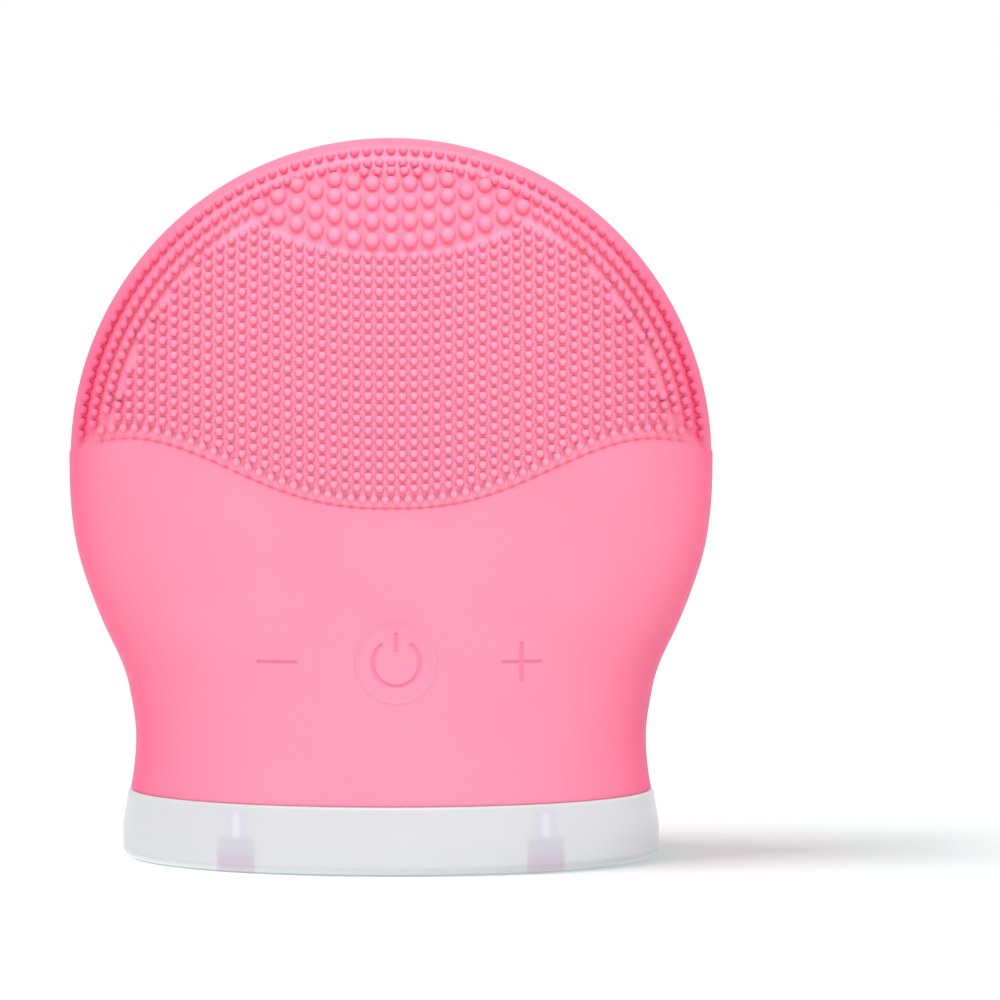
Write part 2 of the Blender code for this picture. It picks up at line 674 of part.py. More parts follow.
def make_board(materials):
    low = (-BOARD_HALF_X, BOARD_LOW_Z)
    high = (BOARD_HALF_X, BOARD_HIGH_Z)
    back = BOARD_FRONT_Y + BOARD_THICKNESS
    outline = rounded_rectangle(low, high, 2 * MM)
    board = prism("main_board", outline, BOARD_FRONT_Y, back, "XZ", materials["board"])
    for side, x in (("left", -BOARD_SCREW_X), ("right", BOARD_SCREW_X)):
        combine(board, "DIFFERENCE", pilot(f"cut_board_{side}", x, BOARD_SCREW_Z, -FAR, FAR))
        head = Vector((x, back + GAP + SCREW_HEAD_HEIGHT, BOARD_SCREW_Z))
        screw(f"board_screw_{side}", head, BOARD_SHANK, TO_FRONT, materials["steel"])
    for name, (x, z, size) in CHIPS.items():
        chip_low = Vector((x - size / 2, 0, z - size / 2)) * MM
        chip_high = Vector((x + size / 2, 0, z + size / 2)) * MM
        chip_low.y = back + GAP
        chip_high.y = back + GAP + CHIP_THICKNESS
        block(name, chip_low, chip_high, materials["chip"], bevel=0.12 * MM, segments=1)
    lamp_low = Vector((-LAMP_SIZE.x / 2, BOARD_FRONT_Y - GAP - LAMP_SIZE.y, KEY_Z - LAMP_BELOW_KEY))
    block("status_lamp", lamp_low, lamp_low + LAMP_SIZE, materials["lamp"], bevel=0.1 * MM, segments=1)


def make_switches(materials):
    """Each tactile switch is a square body with a round plunger that moves along Y."""
    body_back = BOARD_FRONT_Y - GAP
    body_front = body_back - SWITCH_HEIGHT
    for name, x in key_places().items():
        low = Vector((x - SWITCH_HALF, body_front, KEY_Z - SWITCH_HALF))
        high = Vector((x + SWITCH_HALF, body_back, KEY_Z + SWITCH_HALF))
        body = block(f"{name}_switch", low, high, materials["chip"], bevel=0.15 * MM, segments=1)
        start = Vector((x, body_back - GAP, KEY_Z))
        well = rod(f"cut_well_{name}", PLUNGER_RADIUS + GAP, start, FAR, TO_FRONT, segments=16)
        combine(body, "DIFFERENCE", hide(well))
        tip = body_front - PLUNGER_PROUD
        edge = 0.15 * MM
        profile = [(0, 0), (PLUNGER_RADIUS, 0), (PLUNGER_RADIUS, PLUNGER_LENGTH - edge),
                   (PLUNGER_RADIUS - edge, PLUNGER_LENGTH), (0, PLUNGER_LENGTH)]
        place = Vector((x, tip + PLUNGER_LENGTH, KEY_Z))
        plunger = turned(f"{name}_plunger", profile, place, TO_FRONT, materials["steel"], segments=16)
        put_origin(plunger, place)


def make_cell(materials):
    block("battery_cell", CELL_LOW, CELL_HIGH, materials["cell_foil"], bevel=1.5 * MM)
    low = Vector((CELL_LOW.x + 1 * MM, CELL_HIGH.y + GAP, CELL_LOW.z + 1 * MM))
    high = Vector((CELL_HIGH.x - 1 * MM, CELL_HIGH.y + GAP + FOAM_THICKNESS, CELL_HIGH.z - 1 * MM))
    block("battery_foam", low, high, materials["foam"], bevel=0.5 * MM, segments=1)


def make_contacts(material):
    """Studs whose heads lie flush with the sleeve's back and whose tails reach inside the shell."""
    for name, x in contact_places().items():
        outer = face_depth(x, CONTACT_Z, 0.0)
        inner = face_depth(x, CONTACT_Z, SHELL_INSET + SHELL_WALL) - 0.6 * MM
        edge = 0.3 * MM
        profile = [(0, 0), (CONTACT_RADIUS - edge, 0), (CONTACT_RADIUS, edge),
                   (CONTACT_RADIUS, outer - inner - edge), (CONTACT_RADIUS - edge, outer - inner),
                   (0, outer - inner)]
        turned(f"charging_contact_{name}", profile, Vector((x, inner, CONTACT_Z)), TO_BACK, material)


# ---------------------------------------------------------------- motor

def make_motor(materials):
    up = Matrix.Identity(4)
    edge = 0.5 * MM
    neck = 1.8 * MM
    well = SHAFT_RADIUS + SHAFT_CLEARANCE
    can = [(0, MOTOR_LOW_Z), (MOTOR_RADIUS, MOTOR_LOW_Z), (MOTOR_RADIUS, MOTOR_HIGH_Z - edge),
           (MOTOR_RADIUS - edge, MOTOR_HIGH_Z), (neck, MOTOR_HIGH_Z), (neck, MOTOR_HIGH_Z + edge),
           (well, MOTOR_HIGH_Z + edge), (well, MOTOR_HIGH_Z - SHAFT_WELL), (0, MOTOR_HIGH_Z - SHAFT_WELL)]
    turned("motor_can", can, Vector(), up, materials["steel"], segments=24)
    cap_high = MOTOR_LOW_Z - GAP
    cap = [(0, cap_high - END_CAP_THICKNESS), (MOTOR_RADIUS - edge, cap_high - END_CAP_THICKNESS),
           (MOTOR_RADIUS - edge, cap_high), (0, cap_high)]
    turned("motor_end_cap", cap, Vector(), up, materials["strap_plastic"], segments=24)
    middle = (MOTOR_LOW_Z + MOTOR_HIGH_Z) / 2
    half = STRAP_HALF_HEIGHT + 2 * MM
    inside = MOTOR_RADIUS + GAP
    isolator = [(inside, middle - half), (ISOLATOR_RADIUS, middle - half), (ISOLATOR_RADIUS, middle + half),
                (inside, middle + half)]
    turned("motor_isolator", isolator, Vector(), up, materials["rubber"], segments=24)
    shaft_low = MOTOR_HIGH_Z - SHAFT_INSIDE
    shaft_length = WEIGHT_HIGH_Z + SHAFT_PAST_WEIGHT - shaft_low
    shaft = rod("motor_shaft", SHAFT_RADIUS, Vector((0, 0, shaft_low)), shaft_length, up, materials["steel"],
                segments=24)
    put_origin(shaft, Vector((0, 0, shaft_low)))
    make_weight(materials["weight_metal"])
    make_strap(materials)


def make_weight(material):
    """A half disc whose hub clears the shaft, so its mass lies to one side of the axis."""
    hub = WEIGHT_HUB_RADIUS
    steps = 16
    outline = [(WEIGHT_RADIUS * math.cos(math.pi * i / steps), WEIGHT_RADIUS * math.sin(math.pi * i / steps))
               for i in range(steps + 1)]
    outline += [(-hub, 0.0)]
    outline += [(hub * math.cos(math.pi + math.pi * i / 8), hub * math.sin(math.pi + math.pi * i / 8))
                for i in range(1, 9)]
    weight = prism("eccentric_weight", outline, WEIGHT_LOW_Z, WEIGHT_HIGH_Z, "XY", material)
    bore = rod("cut_weight_bore", SHAFT_RADIUS + GAP, Vector((0, 0, WEIGHT_LOW_Z - FAR)), 2 * FAR,
               Matrix.Identity(4), segments=24)
    combine(weight, "DIFFERENCE", hide(bore))
    put_origin(weight, Vector((0, 0, WEIGHT_LOW_Z)))


def make_strap(materials):
    """A half ring in front of the motor with an ear on each side, screwed to the rear shell's bosses."""
    inner = ISOLATOR_RADIUS + GAP
    outer = inner + STRAP_WALL
    ear_back = -GAP / 2
    ear_front = ear_back - STRAP_WALL
    ear_end = STRAP_SCREW_X + BOSS_RADIUS
    steps = 16
    outer_start = math.asin(-ear_front / outer)
    inner_start = math.asin(-ear_back / inner)
    outline = [(-ear_end, ear_back), (-ear_end, ear_front)]
    for i in range(steps + 1):
        angle = math.pi + outer_start + (math.pi - 2 * outer_start) * i / steps
        outline.append((outer * math.cos(angle), outer * math.sin(angle)))
    outline += [(ear_end, ear_front), (ear_end, ear_back)]
    for i in range(steps + 1):
        angle = math.tau - inner_start - (math.pi - 2 * inner_start) * i / steps
        outline.append((inner * math.cos(angle), inner * math.sin(angle)))
    strap = prism("motor_strap", outline, STRAP_Z - STRAP_HALF_HEIGHT, STRAP_Z + STRAP_HALF_HEIGHT, "XY",
                  materials["strap_plastic"])
    for side, x in (("left", -STRAP_SCREW_X), ("right", STRAP_SCREW_X)):
        combine(strap, "DIFFERENCE", pilot(f"cut_strap_{side}", x, STRAP_Z, -FAR, FAR))
        head = Vector((x, ear_front - GAP - SCREW_HEAD_HEIGHT, STRAP_Z))
        screw(f"strap_screw_{side}", head, STRAP_SHANK, TO_BACK, materials["steel"])


# ---------------------------------------------------------------- leads

def make_leads(materials):
    """Held wires, as routes in mm. Each ends just short of the piece that it is soldered to."""
    red = materials["red_wire"]
    black = materials["black_wire"]
    lead("battery_lead_red", [(8.0, 4.5, 43.4), (8.0, 4.0, 45.6), (8.0, 0.0, 46.6), (8.2, -3.6, 43.5),
                              (8.4, -4.6, 37.0), (8.5, -5.6, 33.2), (8.5, -7.0, 32.4)], red)
    lead("battery_lead_black", [(10.8, 4.5, 43.4), (10.8, 4.0, 45.6), (10.8, 0.0, 46.6), (10.9, -3.6, 43.5),
                                (11.0, -4.6, 37.0), (11.0, -5.6, 33.2), (11.0, -7.0, 32.4)], black)
    lead("motor_lead_red", [(-1.8, -1.0, 44.9), (-2.2, -1.6, 42.5), (-5.0, -3.8, 38.5), (-8.0, -5.4, 34.0),
                            (-8.2, -7.0, 32.2)], red)
    lead("motor_lead_black", [(1.8, -1.0, 44.9), (1.4, -1.6, 42.5), (-2.2, -3.8, 38.0), (-5.4, -5.4, 34.0),
                              (-5.6, -7.0, 32.2)], black)
    for name, x, material in (("left", -5.0, red), ("right", 5.0, black)):
        tail = face_depth(CONTACT_X, CONTACT_Z, SHELL_INSET + SHELL_WALL) / MM - 0.9
        lead(f"charging_lead_{name}", [(x, tail, 16.5), (x, tail - 2.5, 16.4), (x, 2.0, 16.0), (x, -4.6, 16.8),
                                       (x, -7.0, 17.4)], material)


def build():
    clear_scene()
    materials = make_materials()
    guides = make_guides()
    make_sleeve(guides, materials["silicone"])
    make_keys(guides, materials["key_silicone"])
    make_base(materials["frosted_plastic"])
    make_base_fixings(materials)
    make_front_shell(guides, materials["shell_plastic"])
    make_back_shell(guides, materials["shell_plastic"])
    make_shell_screws(materials["steel"])
    make_board(materials)
    make_switches(materials)
    make_cell(materials)
    make_contacts(materials["gold_plate"])
    make_motor(materials)
    make_leads(materials)


build()
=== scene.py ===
"""Looks of the facial cleansing brush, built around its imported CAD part.

Metres. The front faces -Y, +Z is up, and the origin is the middle of the base cap's underside.
"""

import json
import math

import bmesh
import bpy
import numpy as np
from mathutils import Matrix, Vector
from mathutils.kdtree import KDTree


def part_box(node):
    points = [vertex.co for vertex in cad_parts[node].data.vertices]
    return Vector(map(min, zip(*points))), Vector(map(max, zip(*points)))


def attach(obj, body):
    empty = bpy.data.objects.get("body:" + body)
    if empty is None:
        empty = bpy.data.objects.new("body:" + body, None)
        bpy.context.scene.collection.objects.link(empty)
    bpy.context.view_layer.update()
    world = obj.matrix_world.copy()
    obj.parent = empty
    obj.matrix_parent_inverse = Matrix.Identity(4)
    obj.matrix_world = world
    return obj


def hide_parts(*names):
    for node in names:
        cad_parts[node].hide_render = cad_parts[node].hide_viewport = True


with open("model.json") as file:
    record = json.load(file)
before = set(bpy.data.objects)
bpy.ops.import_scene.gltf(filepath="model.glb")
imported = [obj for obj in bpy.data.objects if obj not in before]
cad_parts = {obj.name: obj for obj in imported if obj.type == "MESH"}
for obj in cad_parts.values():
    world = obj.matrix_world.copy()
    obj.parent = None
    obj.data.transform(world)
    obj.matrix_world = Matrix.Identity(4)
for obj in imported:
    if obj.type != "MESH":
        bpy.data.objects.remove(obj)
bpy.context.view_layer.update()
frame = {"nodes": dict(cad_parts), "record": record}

MM = 0.001
NODES = frame["nodes"]

# The form of the sleeve, as the CAD part has it.
HEAD_RADIUS = 37.5 * MM
HEAD_Z = 46.4 * MM
HEAD_DEPTH = 15.6 * MM
FOOT_DEPTH = 18.3 * MM
HEAD_ROUNDING = 2.5
FOOT_ROUNDING = 2.05
BODY_FOOT = 8.1 * MM
SLEEVE_WALL = 1.8 * MM
# Half width below the head's centre: height, half width (both mm) and its slope.
FLANK = ((8.1, 30.45, -0.19), (14.0, 29.85, 0.0), (20.0, 30.65, 0.19), (25.0, 32.5, 0.5),
         (33.3, 35.85, 0.33), (46.4, 37.5, 0.0))

# The brush zone above its wave-shaped border.
WAVE_TROUGH_Z = 41.5 * MM
WAVE_PEAK_Z = 49.2 * MM
WAVE_PEAK_X = 29.8 * MM
WAVE_SHARPNESS = 1.25
WAVE_MIDDLE = 45.4 * MM  # the row of the sleeve's mesh that lies on the border
FLOOR_DROP = 0.5 * MM  # the floor between the bristles lies this far below the smooth surface
FLOOR_SIDE_DROP = 0.12 * MM  # and its outline this far inside the smooth one
FLOOR_EDGE = 0.28 * MM  # width of the step at the border

# Keys and contacts.
KEY_Z = 24.1 * MM
KEY_PLACES = (("minus", -13.0 * MM), ("power", 0.6 * MM), ("plus", 14.9 * MM))
KEY_HOLE = 4.705 * MM
KEY_RADIUS = 4.70 * MM
CONTACT_X = 5.0 * MM
CONTACT_Z = 16.5 * MM
CONTACT_HOLE = 2.04 * MM
LINE = 0.18 * MM  # half width of an engraved line
ENGRAVED = 0.16 * MM  # its depth
SYMBOL_HALF = 2.12 * MM  # half length of the minus and plus lines
POWER_RING = 2.68 * MM
POWER_OPENING = math.radians(40)  # half the gap in the power ring
POWER_STROKE = (1.35 * MM, 3.25 * MM)  # where its upright line begins and ends
POWER_DISH = 0.09 * MM  # how far the power key's face lies below its rim

# Base cap.
BASE_HEIGHT = 7.8 * MM
BASE_HALF = (31.4 * MM, 19.0 * MM)
BASE_TOP_HALF = (30.75 * MM, 18.5 * MM)
BASE_WALL = 1.5 * MM
BASE_FLOOR = 1.5 * MM
BASE_CORNER = 1.2 * MM
BASE_LIP = 0.3 * MM
SLEEVE_LIP = 7.83 * MM  # the sleeve nearly touches the base cap's rim
COLUMN_X = 17.7 * MM
COLUMN_Y = 10.0 * MM
COLUMN_RADIUS = 2.9 * MM
RECESS_RADIUS = 2.1 * MM
RECESS_DEPTH = 3.9 * MM
SCREW_HOLE = 1.1 * MM


# ---------------------------------------------------------------- the sleeve's form, for arrays of points

def smoothstep(t):
    t = np.clip(t, 0.0, 1.0)
    return t * t * (3 - 2 * t)


def flank_half_width(z):
    height = np.clip(z / MM, FLANK[0][0], FLANK[-1][0])
    width = np.zeros_like(height)
    for (z0, w0, s0), (z1, w1, s1) in zip(FLANK, FLANK[1:]):
        span = z1 - z0
        t = (height - z0) / span
        piece = (w0 * (1 + 2 * t) * (1 - t) ** 2 + s0 * span * t * (1 - t) ** 2
                 + w1 * t * t * (3 - 2 * t) + s1 * span * t * t * (t - 1))
        width = np.where((height >= z0) & (height <= z1), piece, width)
    return width * MM


def rise(z):
    return np.clip((z - BODY_FOOT) / (HEAD_Z - BODY_FOOT), 0.0, 1.0)


def half_depth(z):
    return HEAD_DEPTH + (FOOT_DEPTH - HEAD_DEPTH) * (1 - rise(z)) ** 2


def rounding(z):
    return FOOT_ROUNDING + (HEAD_ROUNDING - FOOT_ROUNDING) * rise(z)


def half_width(z, inset):
    radius = HEAD_RADIUS - inset
    arc = np.sqrt(np.maximum(radius ** 2 - (z - HEAD_Z) ** 2, 0.0))
    return np.where(z <= HEAD_Z, flank_half_width(z) - inset, arc)


def face_depth(x, z, inset, drop=0.0):
    """How far the surface lies from the middle plane, moved in by inset all round and by drop in depth."""
    low = np.abs(x) / (flank_half_width(z) - inset)
    high = np.hypot(x, z - HEAD_Z) / (HEAD_RADIUS - inset)
    reach = np.minimum(np.where(z <= HEAD_Z, low, high), 1.0)
    power = rounding(z)
    return (half_depth(z) - inset - drop) * np.maximum(1 - reach ** power, 0.0) ** (1 / power)


def wave_z(x):
    swing = 0.5 - 0.5 * np.cos(np.pi * (np.abs(x) / WAVE_PEAK_X) ** WAVE_SHARPNESS)
    return WAVE_TROUGH_Z + (WAVE_PEAK_Z - WAVE_TROUGH_Z) * swing


def in_brush(x, z):
    """0 in the smooth zone, 1 on the floor between the bristles."""
    return smoothstep((z - wave_z(x)) / FLOOR_EDGE)


def skin(x, z):
    """Depth of the finished outer surface at (x, z), with the brush zone's step."""
    inside = in_brush(x, z)
    return face_depth(x, z, FLOOR_SIDE_DROP * inside, (FLOOR_DROP - FLOOR_SIDE_DROP) * inside)


def normal_at(x, z, side=-1.0):
    """Outward unit normals of the smooth form; side is -1 in front and 1 at the back."""
    step = 0.02 * MM
    dx = (face_depth(x + step, z, 0.0) - face_depth(x - step, z, 0.0)) / (2 * step)
    dz = (face_depth(x, z + step, 0.0) - face_depth(x, z - step, 0.0)) / (2 * step)
    length = np.sqrt(1 + dx * dx + dz * dz)
    return np.stack([-dx / length, side / length, -dz / length], axis=-1)


def facing(x, z):
    """1 where the surface faces the front or the back, a little less where it faces up, 0 at the sides."""
    # The silicone is painted paler as a sheen where this is high and deeper as shade where it is low; the
    # share below paints light from above onto surfaces that face up.
    top_light_share = 0.7
    normal = normal_at(x, z)
    return np.sqrt(normal[..., 1] ** 2 + top_light_share * np.maximum(normal[..., 2], 0.0) ** 2)


# ---------------------------------------------------------------- mesh helpers

def ring_faces(rows, columns):
    """Four-sided faces between rows of a closed grid."""
    i = np.arange(rows - 1)[:, None] * columns
    j = np.arange(columns)[None, :]
    k = (j + 1) % columns
    return np.stack([i + j, i + k, i + columns + k, i + columns + j], axis=-1).reshape(-1, 4).tolist()


def fan(ring_start, columns, pole):
    return [[ring_start + j, ring_start + (j + 1) % columns, pole] for j in range(columns)]


def mesh_object(name, points, faces, material, sharp=40.0):
    """A mesh object whose faces point outwards, smooth but for edges above the angle sharp."""
    mesh = bpy.data.meshes.new(name)
    mesh.from_pydata(np.asarray(points, float).reshape(-1, 3).tolist(), [], faces)
    bm = bmesh.new()
    bm.from_mesh(mesh)
    bmesh.ops.recalc_face_normals(bm, faces=bm.faces[:])
    bm.to_mesh(mesh)
    bm.free()
    finish_shading(mesh, sharp)
    item = bpy.data.objects.new(name, mesh)
    bpy.context.scene.collection.objects.link(item)
    if material:
        mesh.materials.append(material)
    return item


def finish_shading(mesh, sharp=40.0):
    mesh.shade_smooth()
    mesh.set_sharp_from_angle(angle=math.radians(sharp))


def loft(name, rings, material, sharp=40.0):
    """A skin over rings of equal count that ends in a pole at each end."""
    rings = [np.asarray(ring, float) for ring in rings]
    columns = len(rings[0])
    points = np.concatenate(rings)
    faces = ring_faces(len(rings), columns)
    last = (len(rings) - 1) * columns
    poles = np.stack([rings[0].mean(0), rings[-1].mean(0)])
    faces += fan(0, columns, len(points)) + fan(last, columns, len(points) + 1)
    points = np.concatenate([points, poles])
    return mesh_object(name, points, faces, material, sharp)


def superellipse(segments, power):
    """Points round a rounded rectangle with half sizes of 1; a higher power makes squarer corners."""
    angle = np.arange(segments) * math.tau / segments
    u = np.sign(np.cos(angle)) * np.abs(np.cos(angle)) ** (2 / power)
    v = np.sign(np.sin(angle)) * np.abs(np.sin(angle)) ** (2 / power)
    return u, v


def circle(radius, height, place, segments=96):
    angle = np.arange(segments) * math.tau / segments
    return np.stack([place[0] + radius * np.cos(angle), place[1] + radius * np.sin(angle),
                     np.full(segments, height)], axis=-1)


def coordinates(mesh):
    co = np.zeros(len(mesh.vertices) * 3, np.float32)
    mesh.vertices.foreach_get("co", co)
    return co.reshape(-1, 3).astype(float)


def paint(item, name, values):
    """Stores one number per vertex for the materials to read."""
    attribute = item.data.attributes.new(name, "FLOAT", "POINT")
    attribute.data.foreach_set("value", np.asarray(values, np.float32))


def combine(item, other, operation):
    """Adds other to item or takes it out, and applies the result."""
    modifier = item.modifiers.new("combine", "BOOLEAN")
    modifier.operation = operation
    modifier.solver = "EXACT"
    modifier.object = other
    graph = bpy.context.evaluated_depsgraph_get()
    mesh = bpy.data.meshes.new_from_object(item.evaluated_get(graph))
    item.modifiers.clear()
    item.data = mesh
    finish_shading(mesh)
    bpy.data.objects.remove(other)


# ---------------------------------------------------------------- materials

class Nodes:
    """A short way to write a material's nodes."""

    def __init__(self, name):
        self.material = bpy.data.materials.new(name)
        self.material.use_nodes = True
        self.tree = self.material.node_tree
        self.shader = self.tree.nodes["Principled BSDF"]

    def add(self, kind, **inputs):
        node = self.tree.nodes.new(kind)
        for key, value in inputs.items():
            node.inputs[key.replace("_", " ")].default_value = value
        return node

    def link(self, source, target):
        self.tree.links.new(source, target)

    def value(self, socket, number):
        self.shader.inputs[socket].default_value = number

    def attribute(self, name):
        node = self.tree.nodes.new("ShaderNodeAttribute")
        node.attribute_name = name
        return node.outputs["Fac"]

    def place(self):
        """Coordinates on the object."""
        return self.tree.nodes.new("ShaderNodeTexCoord").outputs["Object"]

    def noise(self, scale, detail=4.0, stretch=(1.0, 1.0, 1.0)):
        mapping = self.add("ShaderNodeMapping", Scale=stretch)
        node = self.add("ShaderNodeTexNoise", Scale=scale, Detail=detail)
        self.link(self.place(), mapping.inputs["Vector"])
        self.link(mapping.outputs["Vector"], node.inputs["Vector"])
        return node.outputs["Fac"]

    def line(self, source, start, end, low=0.0, high=1.0):
        """low to high, clamped, while source goes from start to end."""
        node = self.tree.nodes.new("ShaderNodeMapRange")
        node.inputs["From Min"].default_value = start
        node.inputs["From Max"].default_value = end
        node.inputs["To Min"].default_value = low
        node.inputs["To Max"].default_value = high
        self.link(source, node.inputs["Value"])
        return node.outputs["Result"]

    def spread(self, noise, low, high):
        """low to high over the range in which most of a noise lies."""
        return self.line(noise, 0.3, 0.7, low, high)

    def math(self, operation, *values):
        node = self.tree.nodes.new("ShaderNodeMath")
        node.operation = operation
        for socket, value in zip(node.inputs, values):
            if isinstance(value, bpy.types.NodeSocket):
                self.link(value, socket)
            else:
                socket.default_value = value
        return node.outputs["Value"]

    def ramp(self, source, zero_at, one_at):
        """0 to 1 while source goes from zero_at to one_at, smoothly."""
        node = self.tree.nodes.new("ShaderNodeMapRange")
        node.interpolation_type = "SMOOTHSTEP"
        node.inputs["From Min"].default_value = zero_at
        node.inputs["From Max"].default_value = one_at
        self.link(source, node.inputs["Value"])
        return node.outputs["Result"]

    def mix(self, factor, first, second, blend="MIX"):
        node = self.tree.nodes.new("ShaderNodeMix")
        node.data_type = "RGBA"
        node.blend_type = blend
        for socket, value in ((node.inputs[0], factor), (node.inputs[6], first), (node.inputs[7], second)):
            if isinstance(value, bpy.types.NodeSocket):
                self.link(value, socket)
            elif isinstance(value, float):
                socket.default_value = value
            else:
                socket.default_value = (*value, 1.0)
        return node.outputs[2]

    def bump(self, height, strength, distance):
        node = self.add("ShaderNodeBump", Strength=strength, Distance=distance)
        self.link(height, node.inputs["Height"])
        self.link(node.outputs["Normal"], self.shader.inputs["Normal"])


PALE_SHEEN = (0.975, 0.262, 0.386)  # smooth silicone that faces forwards, painted paler as a sheen
TIP = (0.960, 0.312, 0.455)  # the same on a bristle
SHADED_SIDE_SILICONE = (0.960, 0.147, 0.283)  # painted shade on silicone that faces sideways
FLOOR = (0.970, 0.405, 0.550)  # floor between the bristles, painted paler against the shade the bristles cast on it
SHADED_SIDE_FLOOR = (0.860, 0.115, 0.245)  # the same with painted shade where it faces sideways
GROOVE_SHADE = (0.780, 0.200, 0.325)  # painted shade in an engraved line
SMOOTH_DEEP_AT = 0.45  # "facing" at and below which smooth silicone has its full painted side shade
BRISTLE_DEEP_AT = 0.62  # the same for bristles and their floor


def silicone(name, pale, deep_at):
    """Matt pink silicone: a painted sheen in front, painted shade at the sides, a floor painted paler among
    the bristles and painted shade in engraved lines.
    """
    made = Nodes(name)
    # painted sheen where the silicone faces front or back, painted shade where it faces sideways
    colour = made.mix(made.line(made.attribute("facing"), deep_at, 1.0), SHADED_SIDE_SILICONE, pale)
    patches = made.spread(made.noise(90.0, 3.0), 0.0, 1.0)
    cloud = made.mix(patches, (0.96, 0.94, 0.95), (1.0, 1.0, 1.0))
    clouded = made.mix(1.0, colour, cloud, "MULTIPLY")
    # the floor among the bristles: painted paler against their shade, with painted shade where it faces
    # sideways
    floor = made.mix(made.line(made.attribute("facing"), BRISTLE_DEEP_AT, 1.0), SHADED_SIDE_FLOOR, FLOOR)
    toned = made.mix(made.attribute("tone"), floor, clouded)
    # painted shade in the engraved lines
    made.link(made.mix(made.attribute("groove"), toned, GROOVE_SHADE), made.shader.inputs["Base Color"])
    made.link(made.spread(made.noise(2600.0, 2.0), 0.50, 0.62), made.shader.inputs["Roughness"])
    made.value("Specular IOR Level", 0.22)
    made.bump(made.noise(7000.0, 2.0), 0.18, 0.00002)
    return made.material


def moulded(name, colour, roughness, grain=5000.0, depth=0.00003, tint=0.04, metallic=0.0,
            stretch=(1, 1, 1), dark=0.0):
    """Plastic, rubber or metal with a grain in its colour, roughness and relief, and dark stains."""
    made = Nodes(name)
    source = made.noise(grain, 4.0, stretch)
    low = tuple(channel * (1 - tint) for channel in colour)
    high = tuple(min(channel * (1 + tint), 1.0) for channel in colour)
    mixed = made.mix(made.spread(source, 0.0, 1.0), low, high)
    if dark:
        stain = made.spread(made.noise(260.0, 5.0), 0.0, dark)
        mixed = made.mix(stain, mixed, tuple(channel * 0.45 for channel in colour))
    made.link(mixed, made.shader.inputs["Base Color"])
    made.link(made.spread(made.noise(grain * 0.4, 3.0, stretch), roughness * 0.85, roughness * 1.15),
              made.shader.inputs["Roughness"])
    made.value("Metallic", metallic)
    made.bump(source, 0.25, depth)
    return made.material


# Painted on the base cap's wall in front of a screw column: what shows through it, as painted shade and a
# painted highlight.
# Each zone has the distances from the column's middle line at which it starts and is full, the heights at
# which it does so (mm), and its colour.
SEEN_ZONES = (
    ((1.80, 1.10), (7.40, 6.60), (0.470, 0.462, 0.530)),  # the column, painted as shade behind the wall
    ((0.70, 0.05), (7.20, 6.40), (0.560, 0.550, 0.620)),  # a painted highlight along it
    ((2.40, 1.80), (4.45, 3.65), (0.420, 0.415, 0.465)),  # painted shade of the recess
    ((2.40, 1.80), (2.45, 1.75), (0.430, 0.350, 0.435)),  # the screw's head and pink plug in it, with painted shade
)
LIT_THROUGH = 0.15  # painted glow that stands for light coming through the plastic and lifts its shaded sides
LIT_CORNER = 0.16  # more of it at the lower edge, painted over the shade next to the floor
CORNER_GLOW = 0.9 * MM  # up to this height
COVER_OUTSIDE = 0.94  # how opaque the cap's outer surface is
COVER_INSIDE = 0.12


def frosted(name):
    """White frosted plastic that shows the screw columns faintly, with their shade and a gleam painted on,
    and a painted glow. Its inner surfaces are nearly clear.
    """
    made = Nodes(name)
    cloud = made.spread(made.noise(120.0, 4.0), 0.0, 1.0)
    colour = made.mix(cloud, (0.480, 0.483, 0.502), (0.496, 0.499, 0.518))
    apart = made.tree.nodes.new("ShaderNodeSeparateXYZ")
    made.link(made.place(), apart.inputs["Vector"])
    from_middle_plane = made.math("ABSOLUTE", apart.outputs["X"])
    aside = made.math("ABSOLUTE", made.math("SUBTRACT", from_middle_plane, COLUMN_X))
    height = apart.outputs["Z"]
    # paints the shade and highlight of what stands behind the wall
    for (side_start, side_full), (top_start, top_full), seen in SEEN_ZONES:
        near_column = made.ramp(aside, side_start * MM, side_full * MM)
        below_top = made.ramp(height, top_start * MM, top_full * MM)
        colour = made.mix(made.math("MULTIPLY", near_column, below_top), colour, seen)
    made.link(colour, made.shader.inputs["Base Color"])
    # painted glow, stronger at the lower edge
    glow = made.ramp(height, CORNER_GLOW, 0.0)
    lit = made.math("MULTIPLY_ADD", glow, LIT_CORNER, LIT_THROUGH)
    made.link(lit, made.shader.inputs["Emission Strength"])
    made.shader.inputs["Emission Color"].default_value = (1.0, 1.0, 1.0, 1.0)
    made.link(made.spread(made.noise(3000.0, 3.0), 0.30, 0.40), made.shader.inputs["Roughness"])
    made.link(made.attribute("cover"), made.shader.inputs["Alpha"])
    made.bump(made.noise(5000.0, 3.0), 0.15, 0.00002)
    return made.material


def circuit_board(name):
    """Green solder mask with paler copper tracks under it."""
    made = Nodes(name)
    tracks = made.add("ShaderNodeTexBrick", Scale=260.0, Mortar_Size=0.03)
    for socket, colour in (("Color1", (0.010, 0.120, 0.050)), ("Color2", (0.014, 0.150, 0.060)),
                           ("Mortar", (0.050, 0.300, 0.130))):
        tracks.inputs[socket].default_value = (*colour, 1.0)
    turn = made.add("ShaderNodeMapping", Rotation=(math.radians(90), 0.0, 0.0))
    made.link(made.place(), turn.inputs["Vector"])
    made.link(turn.outputs["Vector"], tracks.inputs["Vector"])
    made.link(tracks.outputs["Color"], made.shader.inputs["Base Color"])
    made.link(made.spread(made.noise(1500.0), 0.28, 0.42), made.shader.inputs["Roughness"])
    made.bump(tracks.outputs["Fac"], 0.2, 0.00003)
    return made.material


